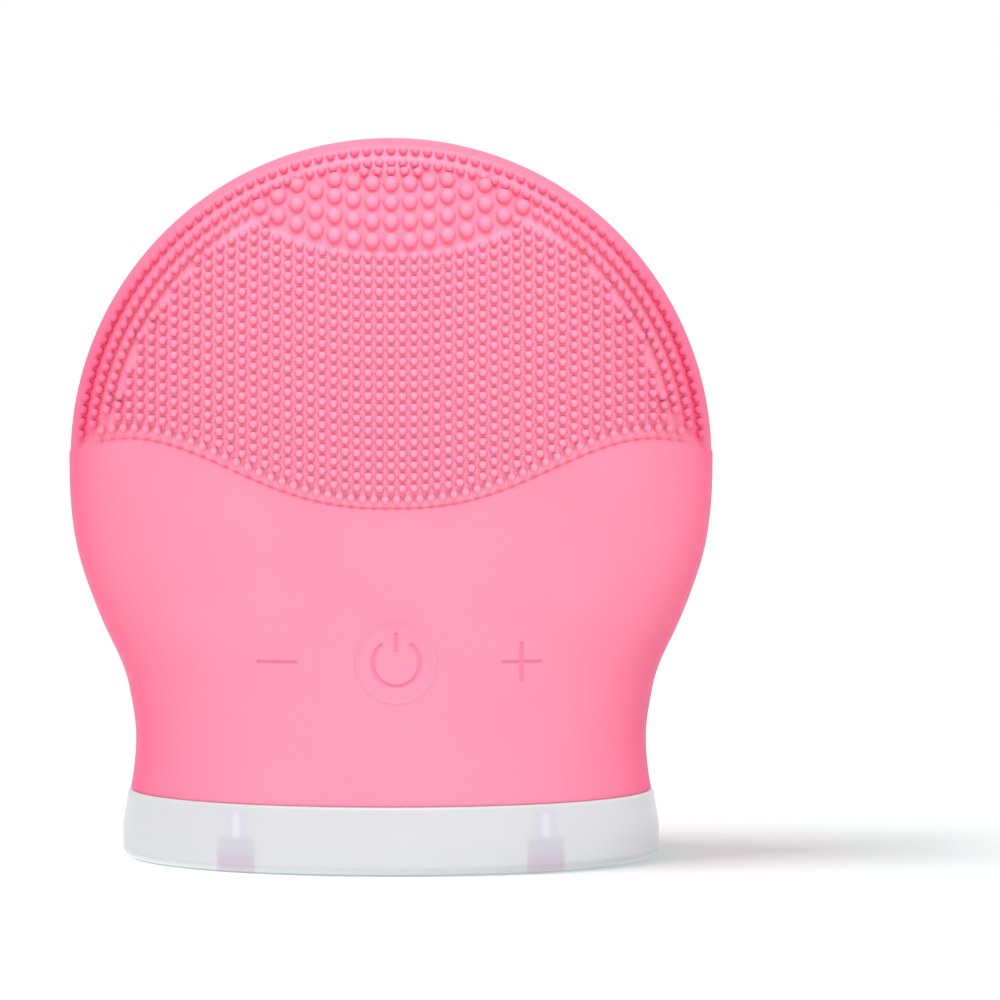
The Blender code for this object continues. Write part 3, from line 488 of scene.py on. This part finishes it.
def make_materials():
    """The materials by slot name. The bristles have their own silicone."""
    drawn = (1.0, 1.0, 14.0)  # scale of a drawn metal's grain
    return {
        "silicone": silicone("pink_silicone", PALE_SHEEN, SMOOTH_DEEP_AT),
        "bristle": silicone("bristle_silicone", TIP, BRISTLE_DEEP_AT),
        "key_silicone": silicone("key_silicone", PALE_SHEEN, SMOOTH_DEEP_AT),
        "plug_silicone": moulded("plug_silicone", (0.80, 0.36, 0.60), 0.5),
        "shell_plastic": moulded("shell_plastic", (0.86, 0.86, 0.85), 0.42, grain=2500.0),
        "frosted_plastic": frosted("frosted_plastic"),
        "strap_plastic": moulded("strap_plastic", (0.055, 0.055, 0.060), 0.5, grain=3500.0, tint=0.15),
        "steel": moulded("steel", (0.60, 0.60, 0.62), 0.30, stretch=drawn, metallic=1.0, dark=0.2),
        "gold_plate": moulded("gold_plate", (0.86, 0.63, 0.28), 0.24, stretch=drawn, metallic=1.0,
                              dark=0.1),
        "board": circuit_board("solder_mask"),
        "chip": moulded("chip_epoxy", (0.030, 0.030, 0.034), 0.55, grain=9000.0, tint=0.3),
        "lamp": moulded("lamp_phosphor", (0.90, 0.84, 0.50), 0.35, grain=8000.0, tint=0.08),
        "cell_foil": moulded("cell_foil", (0.70, 0.72, 0.75), 0.34, grain=420.0, depth=0.0001,
                             metallic=0.7),
        "foam": moulded("foam_rubber", (0.060, 0.060, 0.066), 0.95, grain=3200.0, depth=0.0002, tint=0.5),
        "rubber": moulded("isolator_rubber", (0.045, 0.045, 0.047), 0.75, grain=2600.0, tint=0.2),
        "weight_metal": moulded("sintered_weight", (0.36, 0.36, 0.38), 0.42, grain=7000.0, metallic=1.0,
                                dark=0.3),
        "red_wire": moulded("red_insulation", (0.62, 0.020, 0.020), 0.38, grain=4000.0, tint=0.1),
        "black_wire": moulded("black_insulation", (0.022, 0.022, 0.024), 0.38, grain=4000.0, tint=0.2),
    }


def dress_nodes(materials):
    """Gives every CAD node the detailed material of its slot."""
    slots = {}
    for entry in frame["record"]["materials"]:
        for node in entry.get("nodes", []):
            slots[node] = entry["slot"]
    for name, node in NODES.items():
        slot = slots.get(name)
        for index in range(len(node.data.materials)):
            old = node.data.materials[index]
            key = slot or (old.name.split(".")[0] if old else "shell_plastic")
            node.data.materials[index] = materials[key]


# ---------------------------------------------------------------- sleeve

SLEEVE_COLUMNS = 384
ROW_STEP = 0.62 * MM  # between rows of the sleeve's mesh below the border
# Rows across the step at the border, and the first one above them, from the border's own row (mm).
BORDER_ROWS = (-0.6, -0.25, -0.08, 0.0, 0.05, 0.10, 0.15, 0.20, 0.25, 0.31, 0.45, 0.75)
FIRST_ABOVE = 1.1 * MM
ROWS_ABOVE = 96
RIM_START = 35.9 * MM  # from here to the rim the floor takes the smooth surface's tone
RIM_WIDTH = 0.9 * MM


def follow(h):
    """How much a row of the sleeve's mesh at height h follows the wave."""
    whole, fading = 1.3 * MM, 17 * MM
    return 1 - smoothstep((np.abs(h - WAVE_MIDDLE) - whole) / fading)


def sleeve_rows():
    """Heights of the outer rows before they follow the wave, closer at the border and at the top."""
    below = np.arange(SLEEVE_LIP + 0.8 * MM, WAVE_MIDDLE - 1.0 * MM, ROW_STEP)
    border = WAVE_MIDDLE + np.array(BORDER_ROWS) * MM
    radius = HEAD_RADIUS - FLOOR_SIDE_DROP
    start = math.asin((FIRST_ABOVE + WAVE_MIDDLE - HEAD_Z) / radius)
    angles = start + (math.pi / 2 - start) * np.arange(ROWS_ABOVE) / ROWS_ABOVE
    return np.concatenate([below, border, HEAD_Z + radius * np.sin(angles)])


def sleeve_ring(h, inset=0.0, outer=True):
    """One row of the sleeve's mesh; an outer row follows the wave and drops to the floor above it."""
    columns = SLEEVE_COLUMNS
    angle = np.arange(columns) * math.tau / columns
    u = np.cos(angle)
    x = u * half_width(np.full(columns, h), inset)
    z = np.full(columns, h)
    side_inset = inset
    passes = 12 if outer else 0  # x and z depend on each other
    for _ in range(passes):
        z = h + (wave_z(x) - WAVE_MIDDLE) * follow(h)
        side_inset = inset + FLOOR_SIDE_DROP * in_brush(x, z)
        x = u * half_width(z, side_inset)
    drop = (FLOOR_DROP - FLOOR_SIDE_DROP) * in_brush(x, z) if outer else 0.0
    y = face_depth(x, z, side_inset, drop)
    y[np.abs(np.sin(angle)) < 1e-9] = 0.0
    return np.stack([x, np.sign(np.sin(angle)) * y, z], axis=-1)


def sleeve_tone(co):
    """0 on the floor close to the small bristles in front, which is painted paler there against their
    shade, 1 elsewhere, with soft changes.
    """
    nub_reach, nub_fading = 1.2 * MM, 1.0 * MM
    bristle_reach, bristle_fading = 0.9 * MM, 0.25 * MM
    x, z = co[:, 0], co[:, 2]
    nubs = nub_places()
    front = (co[:, 1] < 0) * in_brush(x, z)
    rim = smoothstep((np.hypot(x, z - HEAD_Z) - RIM_START) / RIM_WIDTH)
    among_nubs = 1 - smoothstep((distance_to(nubs, x, z) - nub_reach) / nub_fading)
    bare = smoothstep((distance_to(bristle_places(nubs), x, z) - bristle_reach) / bristle_fading)
    return 1 - front * (1 - rim) * (1 - among_nubs) * (1 - bare)


def make_sleeve(materials):
    """The closed silicone skin: inner wall from the top down, round the lip, and up the outside."""
    columns = SLEEVE_COLUMNS
    inner_radius = HEAD_RADIUS - SLEEVE_WALL
    rings = [sleeve_ring(HEAD_Z + inner_radius * math.cos(math.radians(a)), SLEEVE_WALL, outer=False)
             for a in np.linspace(4, 90, 16)]
    rings += [sleeve_ring(h, SLEEVE_WALL, outer=False) for h in np.linspace(43.5, 7.85, 12) * MM]
    edge = 0.25 * MM
    for a in np.radians((0, 30, 60, 90)):
        height = SLEEVE_LIP + edge * (1 - math.cos(a))
        rings.append(sleeve_ring(height, edge * (1 - math.sin(a)), outer=False))
    rings += [sleeve_ring(h) for h in sleeve_rows()]
    top = HEAD_Z + HEAD_RADIUS - FLOOR_SIDE_DROP
    points = np.concatenate(rings + [np.array([[0, 0, HEAD_Z + inner_radius], [0, 0, top]])])
    count = len(rings) * columns
    faces = ring_faces(len(rings), columns)
    faces += fan(0, columns, count) + fan(count - columns, columns, count + 1)
    sleeve = mesh_object("sleeve", points, faces, materials["silicone"])
    for _, x in KEY_PLACES:
        combine(sleeve, cutter(KEY_HOLE, x, KEY_Z, -4 * MM, -30 * MM, 288), "DIFFERENCE")
    for x in (-CONTACT_X, CONTACT_X):
        combine(sleeve, cutter(CONTACT_HOLE, x, CONTACT_Z, 4 * MM, 30 * MM, 96), "DIFFERENCE")
    co = coordinates(sleeve.data)
    paint(sleeve, "facing", facing(co[:, 0], co[:, 2]))
    paint(sleeve, "tone", sleeve_tone(co))
    paint(sleeve, "groove", np.zeros(len(co)))
    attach(sleeve, "brush")
    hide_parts("silicone_sleeve")


def cutter(radius, x, z, start, end, segments):
    """A round bar along Y from start to end."""
    angle = np.arange(segments) * math.tau / segments
    across = x + radius * np.cos(angle)
    up = z + radius * np.sin(angle)
    rings = [np.stack([across, np.full(segments, y), up], axis=-1) for y in (start, end)]
    return loft("cutter", rings, None)


# ---------------------------------------------------------------- bristles

# Half sections of a small bristle and of the nubs in front and at the back: radius and height, mm.
SMALL = ((0.0, -0.35), (0.66, -0.35), (0.63, -0.02), (0.54, 0.16), (0.48, 0.45), (0.44, 0.80), (0.41, 0.98),
         (0.34, 1.12), (0.20, 1.215), (0.0, 1.25))
LARGE = ((0.0, -0.4), (1.04, -0.4), (1.00, 0.0), (0.90, 0.14), (0.82, 0.36), (0.76, 0.60), (0.65, 0.81),
         (0.46, 0.97), (0.24, 1.06), (0.0, 1.09))
BROAD = ((0.0, -0.4), (1.30, -0.4), (1.26, 0.0), (1.10, 0.22), (1.0, 0.50), (0.90, 0.76), (0.72, 1.0),
         (0.48, 1.14), (0.24, 1.19), (0.0, 1.20))
PULL = 0.85  # share of the mould's pull direction in the way a bristle points
SEEN_AT = 0.6  # a bristle's place is that of the point this far up it
RING_STEP = math.radians(2.2297)  # between bristles on a ring
ROW_PITCH = 1.312 * MM
COLUMN_PITCH = 1.304 * MM
SIDE_FROM = 15.0 * MM  # beyond this the third ring and its fill-ins bound the columns
NUB_CLEARANCE = 1.38 * MM


def roots_of(tips, height, side):
    """Where bristles of that height stand whose upper parts are at tips, and the way they point."""
    roots = tips.copy()
    for _ in range(4):
        way = normal_at(roots[:, 0], roots[:, 1], side) * (1 - PULL)
        way[:, 1] += side * PULL
        way /= np.linalg.norm(way, axis=1)[:, None]
        roots = tips - way[:, [0, 2]] * height * SEEN_AT
    depth = skin(roots[:, 0], roots[:, 1])
    return np.stack([roots[:, 0], side * depth, roots[:, 1]], axis=-1), way


def steepness(roots, way):
    """Tangent of the angle between each bristle and the surface's normal there."""
    least_cosine = 0.2
    normal = normal_at(roots[:, 0], roots[:, 2], np.sign(way[0, 1]))
    cosine = np.clip((normal * way).sum(1), least_cosine, 1.0)
    return np.sqrt(1 - cosine ** 2) / cosine


def root_tone(heights):
    """The tone up a small bristle: 0, the floor's, at its root and 1, the tip's, at its top; the root
    shares the floor's colour, painted paler against the shade among the bristles.
    """
    return smoothstep(heights / heights[-1] * 1.1 - 0.1) ** 1.3


def stamped(name, profile, tips, side, segments, material, toned=False):
    """One turned closed bristle at each tip, with roots that reach below the surface all round."""
    heights = np.array([h for _, h in profile]) * MM
    radii = np.array([r for r, _ in profile]) * MM
    roots, way = roots_of(np.asarray(tips, float), heights[-1], side)
    levels = np.tile(heights, (len(roots), 1))
    levels[:, :2] -= steepness(roots, way)[:, None] * radii[1]
    across = np.cross(way, np.array([0.0, 0.0, 1.0]))
    across /= np.linalg.norm(across, axis=1)[:, None]
    up = np.cross(across, way)
    angle = np.arange(segments) * math.tau / segments
    around = (np.cos(angle)[None, :, None] * across[:, None, :]
              + np.sin(angle)[None, :, None] * up[:, None, :])
    rings = len(profile) - 2
    body = (roots[:, None, None, :] + levels[:, 1:-1, None, None] * way[:, None, None, :]
            + radii[1:-1][None, :, None, None] * around[:, None, :, :])
    ends = roots[:, None, :] + levels[:, [0, -1], None] * way[:, None, :]
    points = np.concatenate([body.reshape(len(roots), -1, 3), ends], axis=1)
    each = rings * segments + 2
    pattern_quads = np.array(ring_faces(rings, segments))
    pattern_fans = np.array(fan(0, segments, each - 2) + fan((rings - 1) * segments, segments, each - 1))
    starts = np.arange(len(roots)) * each
    faces = (starts[:, None, None] + pattern_quads).reshape(-1, 4).tolist()
    faces += (starts[:, None, None] + pattern_fans).reshape(-1, 3).tolist()
    item = mesh_object(name, points, faces, material, 60.0)
    level_tone = root_tone(heights) if toned else np.ones(len(heights))
    tone = np.concatenate([np.repeat(level_tone[1:-1], segments), level_tone[[0, -1]]])
    paint(item, "tone", np.tile(tone, len(roots)))
    paint(item, "facing", np.repeat(facing(roots[:, 0], roots[:, 2]), each))
    paint(item, "groove", np.zeros(len(roots) * each))
    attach(item, "brush")


def nub_places():
    """The large nubs near the top of the front: 15 columns in up to four bowed rows."""
    spacing = 2.147
    # Each row's height in the middle (mm), its bow (mm per mm squared) and its last column.
    rows = ((78.5, 0.011, 3), (76.4, 0.01721, 5), (74.2, 0.01721, 6), (72.0, 0.01721, 7))
    places = []
    for column in range(-7, 8):
        x = spacing * column
        for height, bow, last in rows:
            if abs(column) <= last:
                places.append((x * MM, (height + bow * x * x) * MM))
    return np.array(places)


def distance_to(places, x, z):
    """Distance from each (x, z) to the nearest place."""
    tree = KDTree(len(places))
    for index, (place_x, place_z) in enumerate(places):
        tree.insert((place_x, 0.0, place_z), index)
    tree.balance()
    return np.array([tree.find((point_x, 0.0, point_z))[2] for point_x, point_z in zip(x, z)])


def apart_from(places, x, z):
    """Distance from one (x, z) to the nearest place."""
    places = np.asarray(places)
    return np.hypot(places[:, 0] - x, places[:, 1] - z).min()


def above_wave(x, z):
    """How far (x, z) lies above the wave."""
    return z - float(wave_z(np.array(x)))


def over_wave(x, least, more):
    """A height that is least above the wave at its trough, and more on top of that at its peaks."""
    return float(wave_z(np.array(x))) + least + more * min(abs(x) / WAVE_PEAK_X, 1.0)


def on_head(radius, angle):
    """The point at that angle from straight up on a circle round the head's middle."""
    return radius * math.sin(angle), HEAD_Z + radius * math.cos(angle)


def from_middle(x, z):
    """How far (x, z) lies from the head's middle."""
    return math.hypot(x, z - HEAD_Z)


def rim_rings(outer, inner, third):
    """Three rings along the rim. The third stands half a step on and only at the sides."""
    # Radius, shift in steps, least distance from the middle plane and from the wave.
    rings = ((outer, 0.0, 0.0, 1.15 * MM),
             (inner, 0.0, 0.0, 1.15 * MM),
             (third, 0.5, 16.4 * MM, 2.65 * MM))
    places = []
    for radius, shift, nearest, lowest in rings:
        for i in range(-39, 40):
            x, z = on_head(radius, (i + math.copysign(shift, i)) * RING_STEP)
            if above_wave(x, z) > lowest and abs(x) >= nearest:
                places.append((x, z))
    return places


def short_row(radius):
    """Five bristles over the nubs."""
    places = []
    for i in range(-2, 3):
        x = i * 1.54 * MM
        places.append((x, HEAD_Z + math.sqrt(radius ** 2 - x * x)))
    return places


def wave_row(outermost):
    """The row along the wave, half a pitch off the columns."""
    places = []
    for i in range(-27, 27):
        x = (i + 0.5) * COLUMN_PITCH
        z = over_wave(x, 1.2 * MM, 0.25 * MM)
        if from_middle(x, z) < outermost:
            places.append((x, z))
    return places


def columns_of_bristles(nubs, top_limit, side_limit, middle_limit):
    """Upright columns in rows parallel to the wave, up to the nubs, the rings and the short row."""
    middle_half = 5.0 * MM
    places = []
    for i in range(-26, 27):
        x = i * COLUMN_PITCH
        first = over_wave(x, 2.45 * MM, 0.3 * MM)
        limit = side_limit if abs(x) > SIDE_FROM else top_limit
        if abs(x) < middle_half:
            limit = middle_limit
        for k in range(33):
            z = first + k * ROW_PITCH
            if from_middle(x, z) < limit and apart_from(nubs, x, z) >= NUB_CLEARANCE:
                places.append((x, z))
    return places


def fill_ins(taken, nubs, radius):
    """Bristles in the larger gaps between the third ring and the columns."""
    least_gap = 1.09 * MM
    lowest = 2.2 * MM
    added = []
    for i in range(-78, 79):
        x, z = on_head(radius, i * RING_STEP / 2)
        free = apart_from(taken + added, x, z) > least_gap and apart_from(nubs, x, z) >= NUB_CLEARANCE
        if free and abs(x) > SIDE_FROM and above_wave(x, z) > lowest:
            added.append((x, z))
    return added


def bristle_places(nubs):
    """The small bristles in front: rings along the rim, a row along the wave, columns, and fill-ins."""
    outer, inner, third, short = 36.0 * MM, 34.6 * MM, 33.25 * MM, 33.65 * MM
    clear_of_ring = 0.95 * MM
    places = rim_rings(outer, inner, third)
    places += short_row(short)
    places += wave_row(inner - 0.9 * MM)
    places += columns_of_bristles(nubs, inner - clear_of_ring, third - clear_of_ring, short - clear_of_ring)
    places += fill_ins(places, nubs, third - 1.15 * MM)
    return np.array(places)


def back_places():
    """Broad nubs on the back in staggered rows above the same wave."""
    pitch = 2.9 * MM
    outermost = 33.2 * MM
    places = []
    for row in range(-2, 28):
        for column in range(-14, 15):
            x = (column + 0.5 * (row % 2)) * pitch
            z = WAVE_TROUGH_Z + 2.0 * MM + row * pitch * math.sin(math.radians(60))
            if above_wave(x, z) > 1.9 * MM and from_middle(x, z) < outermost:
                places.append((x, z))
    return np.array(places)


def make_bristles(materials):
    front, back = -1.0, 1.0
    nubs = nub_places()
    stamped("front_bristles", SMALL, bristle_places(nubs), front, 10, materials["bristle"], toned=True)
    stamped("front_nubs", LARGE, nubs, front, 20, materials["bristle"])
    stamped("back_nubs", BROAD, back_places(), back, 16, materials["bristle"])


# ---------------------------------------------------------------- keys

def segment_distance(u, v, start, end):
    """Distance from (u, v) to a straight line between two points."""
    start, end = np.array(start), np.array(end)
    along = end - start
    t = np.clip(((u - start[0]) * along[0] + (v - start[1]) * along[1]) / (along @ along), 0.0, 1.0)
    return np.hypot(u - start[0] - t * along[0], v - start[1] - t * along[1])


def symbol_distance(name, u, v):
    """Distance from the middle line of a key's symbol."""
    if name == "power":
        angle = np.maximum(np.abs(np.arctan2(u, v)), POWER_OPENING)  # from straight up
        arc = np.hypot(np.abs(u) - POWER_RING * np.sin(angle), v - POWER_RING * np.cos(angle))
        return np.minimum(arc, segment_distance(u, v, (0.0, POWER_STROKE[0]), (0.0, POWER_STROKE[1])))
    level = segment_distance(u, v, (-SYMBOL_HALF, 0.0), (SYMBOL_HALF, 0.0))
    if name == "minus":
        return level
    return np.minimum(level, segment_distance(u, v, (0.0, -SYMBOL_HALF), (0.0, SYMBOL_HALF)))


def key_face(name, x, angle):
    """Rings of the front face from near its middle to its rim, and each point's share in a groove."""
    steps = 90
    bevel = 0.03 * MM
    groove_wall = 0.2 * MM
    outside_line = 0.13 * MM  # the part of a groove's wall outside the line
    dish_edge = 0.75 * MM
    radii = np.concatenate([np.arange(1, steps) * KEY_RADIUS / steps, [KEY_RADIUS - bevel, KEY_RADIUS]])
    dish = POWER_DISH if name == "power" else 0.0
    rings, grooves = [], []
    for radius in radii:
        u, v = radius * np.cos(angle), radius * np.sin(angle)
        groove = smoothstep((LINE + outside_line - symbol_distance(name, u, v)) / groove_wall)
        sink = dish * smoothstep((KEY_RADIUS - radius) / dish_edge) + ENGRAVED * groove
        if radius == KEY_RADIUS and name == "power":
            sink = sink + bevel
        rings.append(np.stack([x + u, -face_depth(x + u, KEY_Z + v, 0.0) + sink, KEY_Z + v], axis=-1))
        grooves.append(groove)
    return rings, np.concatenate(grooves)


def key_back(name, x, angle):
    """Rings from the back face's rim to the end of the post that presses the plunger."""
    post_radius = 1.1 * MM
    fillet = 0.4 * MM
    bevel = 0.2 * MM
    post_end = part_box(f"{name}_key")[1].y
    rings = []
    for radius, behind in ((KEY_RADIUS, 0.0), (post_radius + fillet, 0.0), (post_radius, fillet)):
        u, v = radius * np.cos(angle), radius * np.sin(angle)
        depth = behind - face_depth(x + u, KEY_Z + v, SLEEVE_WALL)
        rings.append(np.stack([x + u, depth, KEY_Z + v], axis=-1))
    for radius, y in ((post_radius, post_end - bevel), (post_radius - bevel, post_end)):
        u, v = radius * np.cos(angle), radius * np.sin(angle)
        rings.append(np.stack([x + u, np.full(len(angle), y), KEY_Z + v], axis=-1))
    return rings


def make_key(name, x, materials):
    """A button with an engraved symbol: front face, side, back face and post."""
    segments = 288
    angle = np.arange(segments) * math.tau / segments
    face, grooves = key_face(name, x, angle)
    key = loft(f"{name}_button", face + key_back(name, x, angle), materials["key_silicone"], 50.0)
    co = coordinates(key.data)
    groove = np.zeros(len(co))
    groove[:len(grooves)] = grooves
    paint(key, "groove", groove)
    paint(key, "facing", facing(co[:, 0], co[:, 2]))
    paint(key, "tone", np.ones(len(co)))
    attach(key, f"{name}_key")
    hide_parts(f"{name}_key")


# ---------------------------------------------------------------- base cap

def base_half(z):
    """Half width and half depth of the base cap at height z; its upper half leans in."""
    lean = np.maximum(z / BASE_HEIGHT - 0.5, 0.0) * 2
    return [bottom + (top - bottom) * lean for bottom, top in zip(BASE_HALF, BASE_TOP_HALF)]


def base_ring(z, inset):
    """An outline of the base cap, moved in by inset and by its rounded lower corner."""
    segments = 240
    half_x, half_y = base_half(z)
    into_corner = max(BASE_CORNER - z, 0.0)
    shrink = inset + BASE_CORNER - math.sqrt(BASE_CORNER ** 2 - into_corner ** 2)
    u, v = superellipse(segments, FOOT_ROUNDING)
    return np.stack([(half_x - shrink) * u, (half_y - shrink) * v, np.full(segments, z)], axis=-1)


def column_rings(place, top, bevel):
    """A screw column with a foot that widens into the cap's floor."""
    foot = COLUMN_RADIUS + 0.3 * MM
    return [circle(foot, BASE_FLOOR / 2, place), circle(foot, BASE_FLOOR + 0.1 * MM, place),
            circle(COLUMN_RADIUS, BASE_FLOOR + 0.5 * MM, place),
            circle(COLUMN_RADIUS, top - bevel, place), circle(COLUMN_RADIUS - bevel, top, place)]


def hole_rings(place, top, bevel):
    """The recess for a screw head, open below, and the screw hole above it."""
    beyond = 1 * MM
    return [circle(RECESS_RADIUS + bevel, -beyond, place), circle(RECESS_RADIUS + bevel, 0.0, place),
            circle(RECESS_RADIUS, bevel, place), circle(RECESS_RADIUS, RECESS_DEPTH, place),
            circle(SCREW_HOLE, RECESS_DEPTH, place), circle(SCREW_HOLE, top + beyond, place)]


def make_base(materials):
    """A tray with four hollow columns, each with a recess for a screw head below and a screw hole above."""
    outside = [base_ring(BASE_CORNER * (1 - math.cos(a)), 0.0) for a in np.radians(np.linspace(0, 90, 8))]
    outside += [base_ring(z * MM, 0.0) for z in (2.0, 3.0, 3.9, 4.8, 5.8, 6.8)]
    lip = [base_ring(BASE_HEIGHT - BASE_LIP * (1 - math.sin(a)), BASE_LIP * (1 - math.cos(a)))
           for a in np.radians((0, 22.5, 45, 67.5, 90))]
    inside = [base_ring(BASE_HEIGHT, BASE_WALL - 0.2 * MM)]
    inside += [base_ring(z * MM, BASE_WALL) for z in (7.6, 5.8, 3.9, 2.2)]
    inside += [base_ring(BASE_FLOOR, BASE_WALL + 0.6 * MM)]
    base = loft("base_shell", outside + lip + inside, materials["frosted_plastic"], 35.0)
    bevel = 0.25 * MM
    for column_x in (-COLUMN_X, COLUMN_X):
        for column_y in (-COLUMN_Y, COLUMN_Y):
            place = (column_x, column_y)
            combine(base, loft("column", column_rings(place, BASE_HEIGHT, bevel), None), "UNION")
            combine(base, loft("hole", hole_rings(place, BASE_HEIGHT, bevel), None), "DIFFERENCE")
    on_outside = outer_wall(coordinates(base.data))
    paint(base, "cover", np.where(on_outside, COVER_OUTSIDE, COVER_INSIDE))
    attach(base, "brush")
    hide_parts("base_cap")


def outer_wall(co):
    """True for points on the outside of the base cap, its rim and its underside."""
    within_wall = 0.8 * MM
    half_x, half_y = base_half(co[:, 2])
    reach = ((np.abs(co[:, 0]) / (half_x - within_wall)) ** FOOT_ROUNDING
             + (np.abs(co[:, 1]) / (half_y - within_wall)) ** FOOT_ROUNDING)
    return (reach > 1.0) | (co[:, 2] < 0.3 * MM)


# ---------------------------------------------------------------- foam

def make_foam(materials):
    """The foam strip behind the cell: crowned faces and soft edges."""
    low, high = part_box("battery_foam")
    middle, half = (low + high) / 2, (high - low) / 2
    segments = 96
    u, w = superellipse(segments, 7.0)
    rings = []
    for v in np.linspace(-1, 1, 25)[1:-1]:
        squeeze = (1 - abs(v) ** 5) ** 0.3
        narrow = (1 - abs(v) ** 9) ** 0.2
        crown = 0.86 + 0.14 * (1 - u * u) * (1 - v * v)
        rings.append(np.stack([middle.x + half.x * u * narrow, middle.y + half.y * w * squeeze * crown,
                               np.full(segments, middle.z + half.z * v)], axis=-1))
    foam = loft("foam_pad", rings, materials["foam"])
    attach(foam, "brush")
    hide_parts("battery_foam")


# ---------------------------------------------------------------- stage

ROOM_LIGHT = 0.72  # the room's light on the object; the camera sees it as 1


def sun(name, floor, towards, spread, strength, only_floor):
    """A soft distant light that reaches either the floor alone or everything but the floor."""
    data = bpy.data.lights.new(name, "SUN")
    data.energy = strength
    data.angle = math.radians(spread)
    light = bpy.data.objects.new(name, data)
    light.rotation_euler = Vector(towards).to_track_quat("-Z", "Y").to_euler()
    bpy.context.scene.collection.objects.link(light)
    group = bpy.data.collections.new(f"{name}_receivers")
    group.objects.link(floor)
    if not only_floor:
        group.collection_objects[0].light_linking.link_state = "EXCLUDE"
    light.light_linking.receiver_collection = group


def make_floor():
    half = 6.0
    below = 0.1 * MM
    points = [(-half, -half, 0), (half, -half, 0), (half, half, 0), (-half, half, 0)]
    made = Nodes("studio_floor")
    colour = made.mix(made.noise(3.0), (0.900, 0.975, 0.962), (0.915, 0.990, 0.977))
    made.link(colour, made.shader.inputs["Base Color"])
    made.value("Roughness", 0.9)
    made.value("Specular IOR Level", 0.0)
    floor = mesh_object("studio_floor", points, [[0, 1, 2, 3]], made.material)
    floor.location.z = -below
    return floor


def make_stage():
    """A white room whose light is lower than the white that the camera sees, and two suns."""
    floor = make_floor()
    world = bpy.data.worlds.new("studio")
    bpy.context.scene.world = world
    world.use_nodes = True
    tree = world.node_tree
    background = tree.nodes["Background"]
    background.inputs["Color"].default_value = (1.0, 1.0, 1.0, 1.0)
    seen = tree.nodes.new("ShaderNodeLightPath")
    level = tree.nodes.new("ShaderNodeMapRange")
    level.inputs["To Min"].default_value = ROOM_LIGHT
    level.inputs["To Max"].default_value = 1.0
    tree.links.new(seen.outputs["Is Camera Ray"], level.inputs["Value"])
    tree.links.new(level.outputs["Result"], background.inputs["Strength"])
    sun("key_light", floor, towards=(0.06, 1.0, -1.8), spread=35.0, strength=2.1, only_floor=False)
    sun("shadow_light", floor, towards=(1.0, 0.14, -0.9), spread=44.0, strength=2.65, only_floor=True)


def make_camera():
    data = bpy.data.cameras.new("camera")
    data.lens = 185.4
    data.sensor_width = 36.0
    data.shift_x = 0.109
    data.clip_start = 0.01
    camera = bpy.data.objects.new("camera", data)
    camera.location = (0.0, -0.6, 0.083)
    aim = Vector((0.0, 0.0, 0.0416))
    camera.rotation_euler = (aim - camera.location).to_track_quat("-Z", "Y").to_euler()
    bpy.context.scene.collection.objects.link(camera)
    bpy.context.scene.camera = camera
    bpy.context.scene.view_settings.view_transform = "Standard"


materials = make_materials()
make_camera()
make_stage()
dress_nodes(materials)
make_sleeve(materials)
make_bristles(materials)
for key_name, key_x in KEY_PLACES:
    make_key(key_name, key_x, materials)
make_base(materials)
make_foam(materials)

bpy.context.view_layer.update()
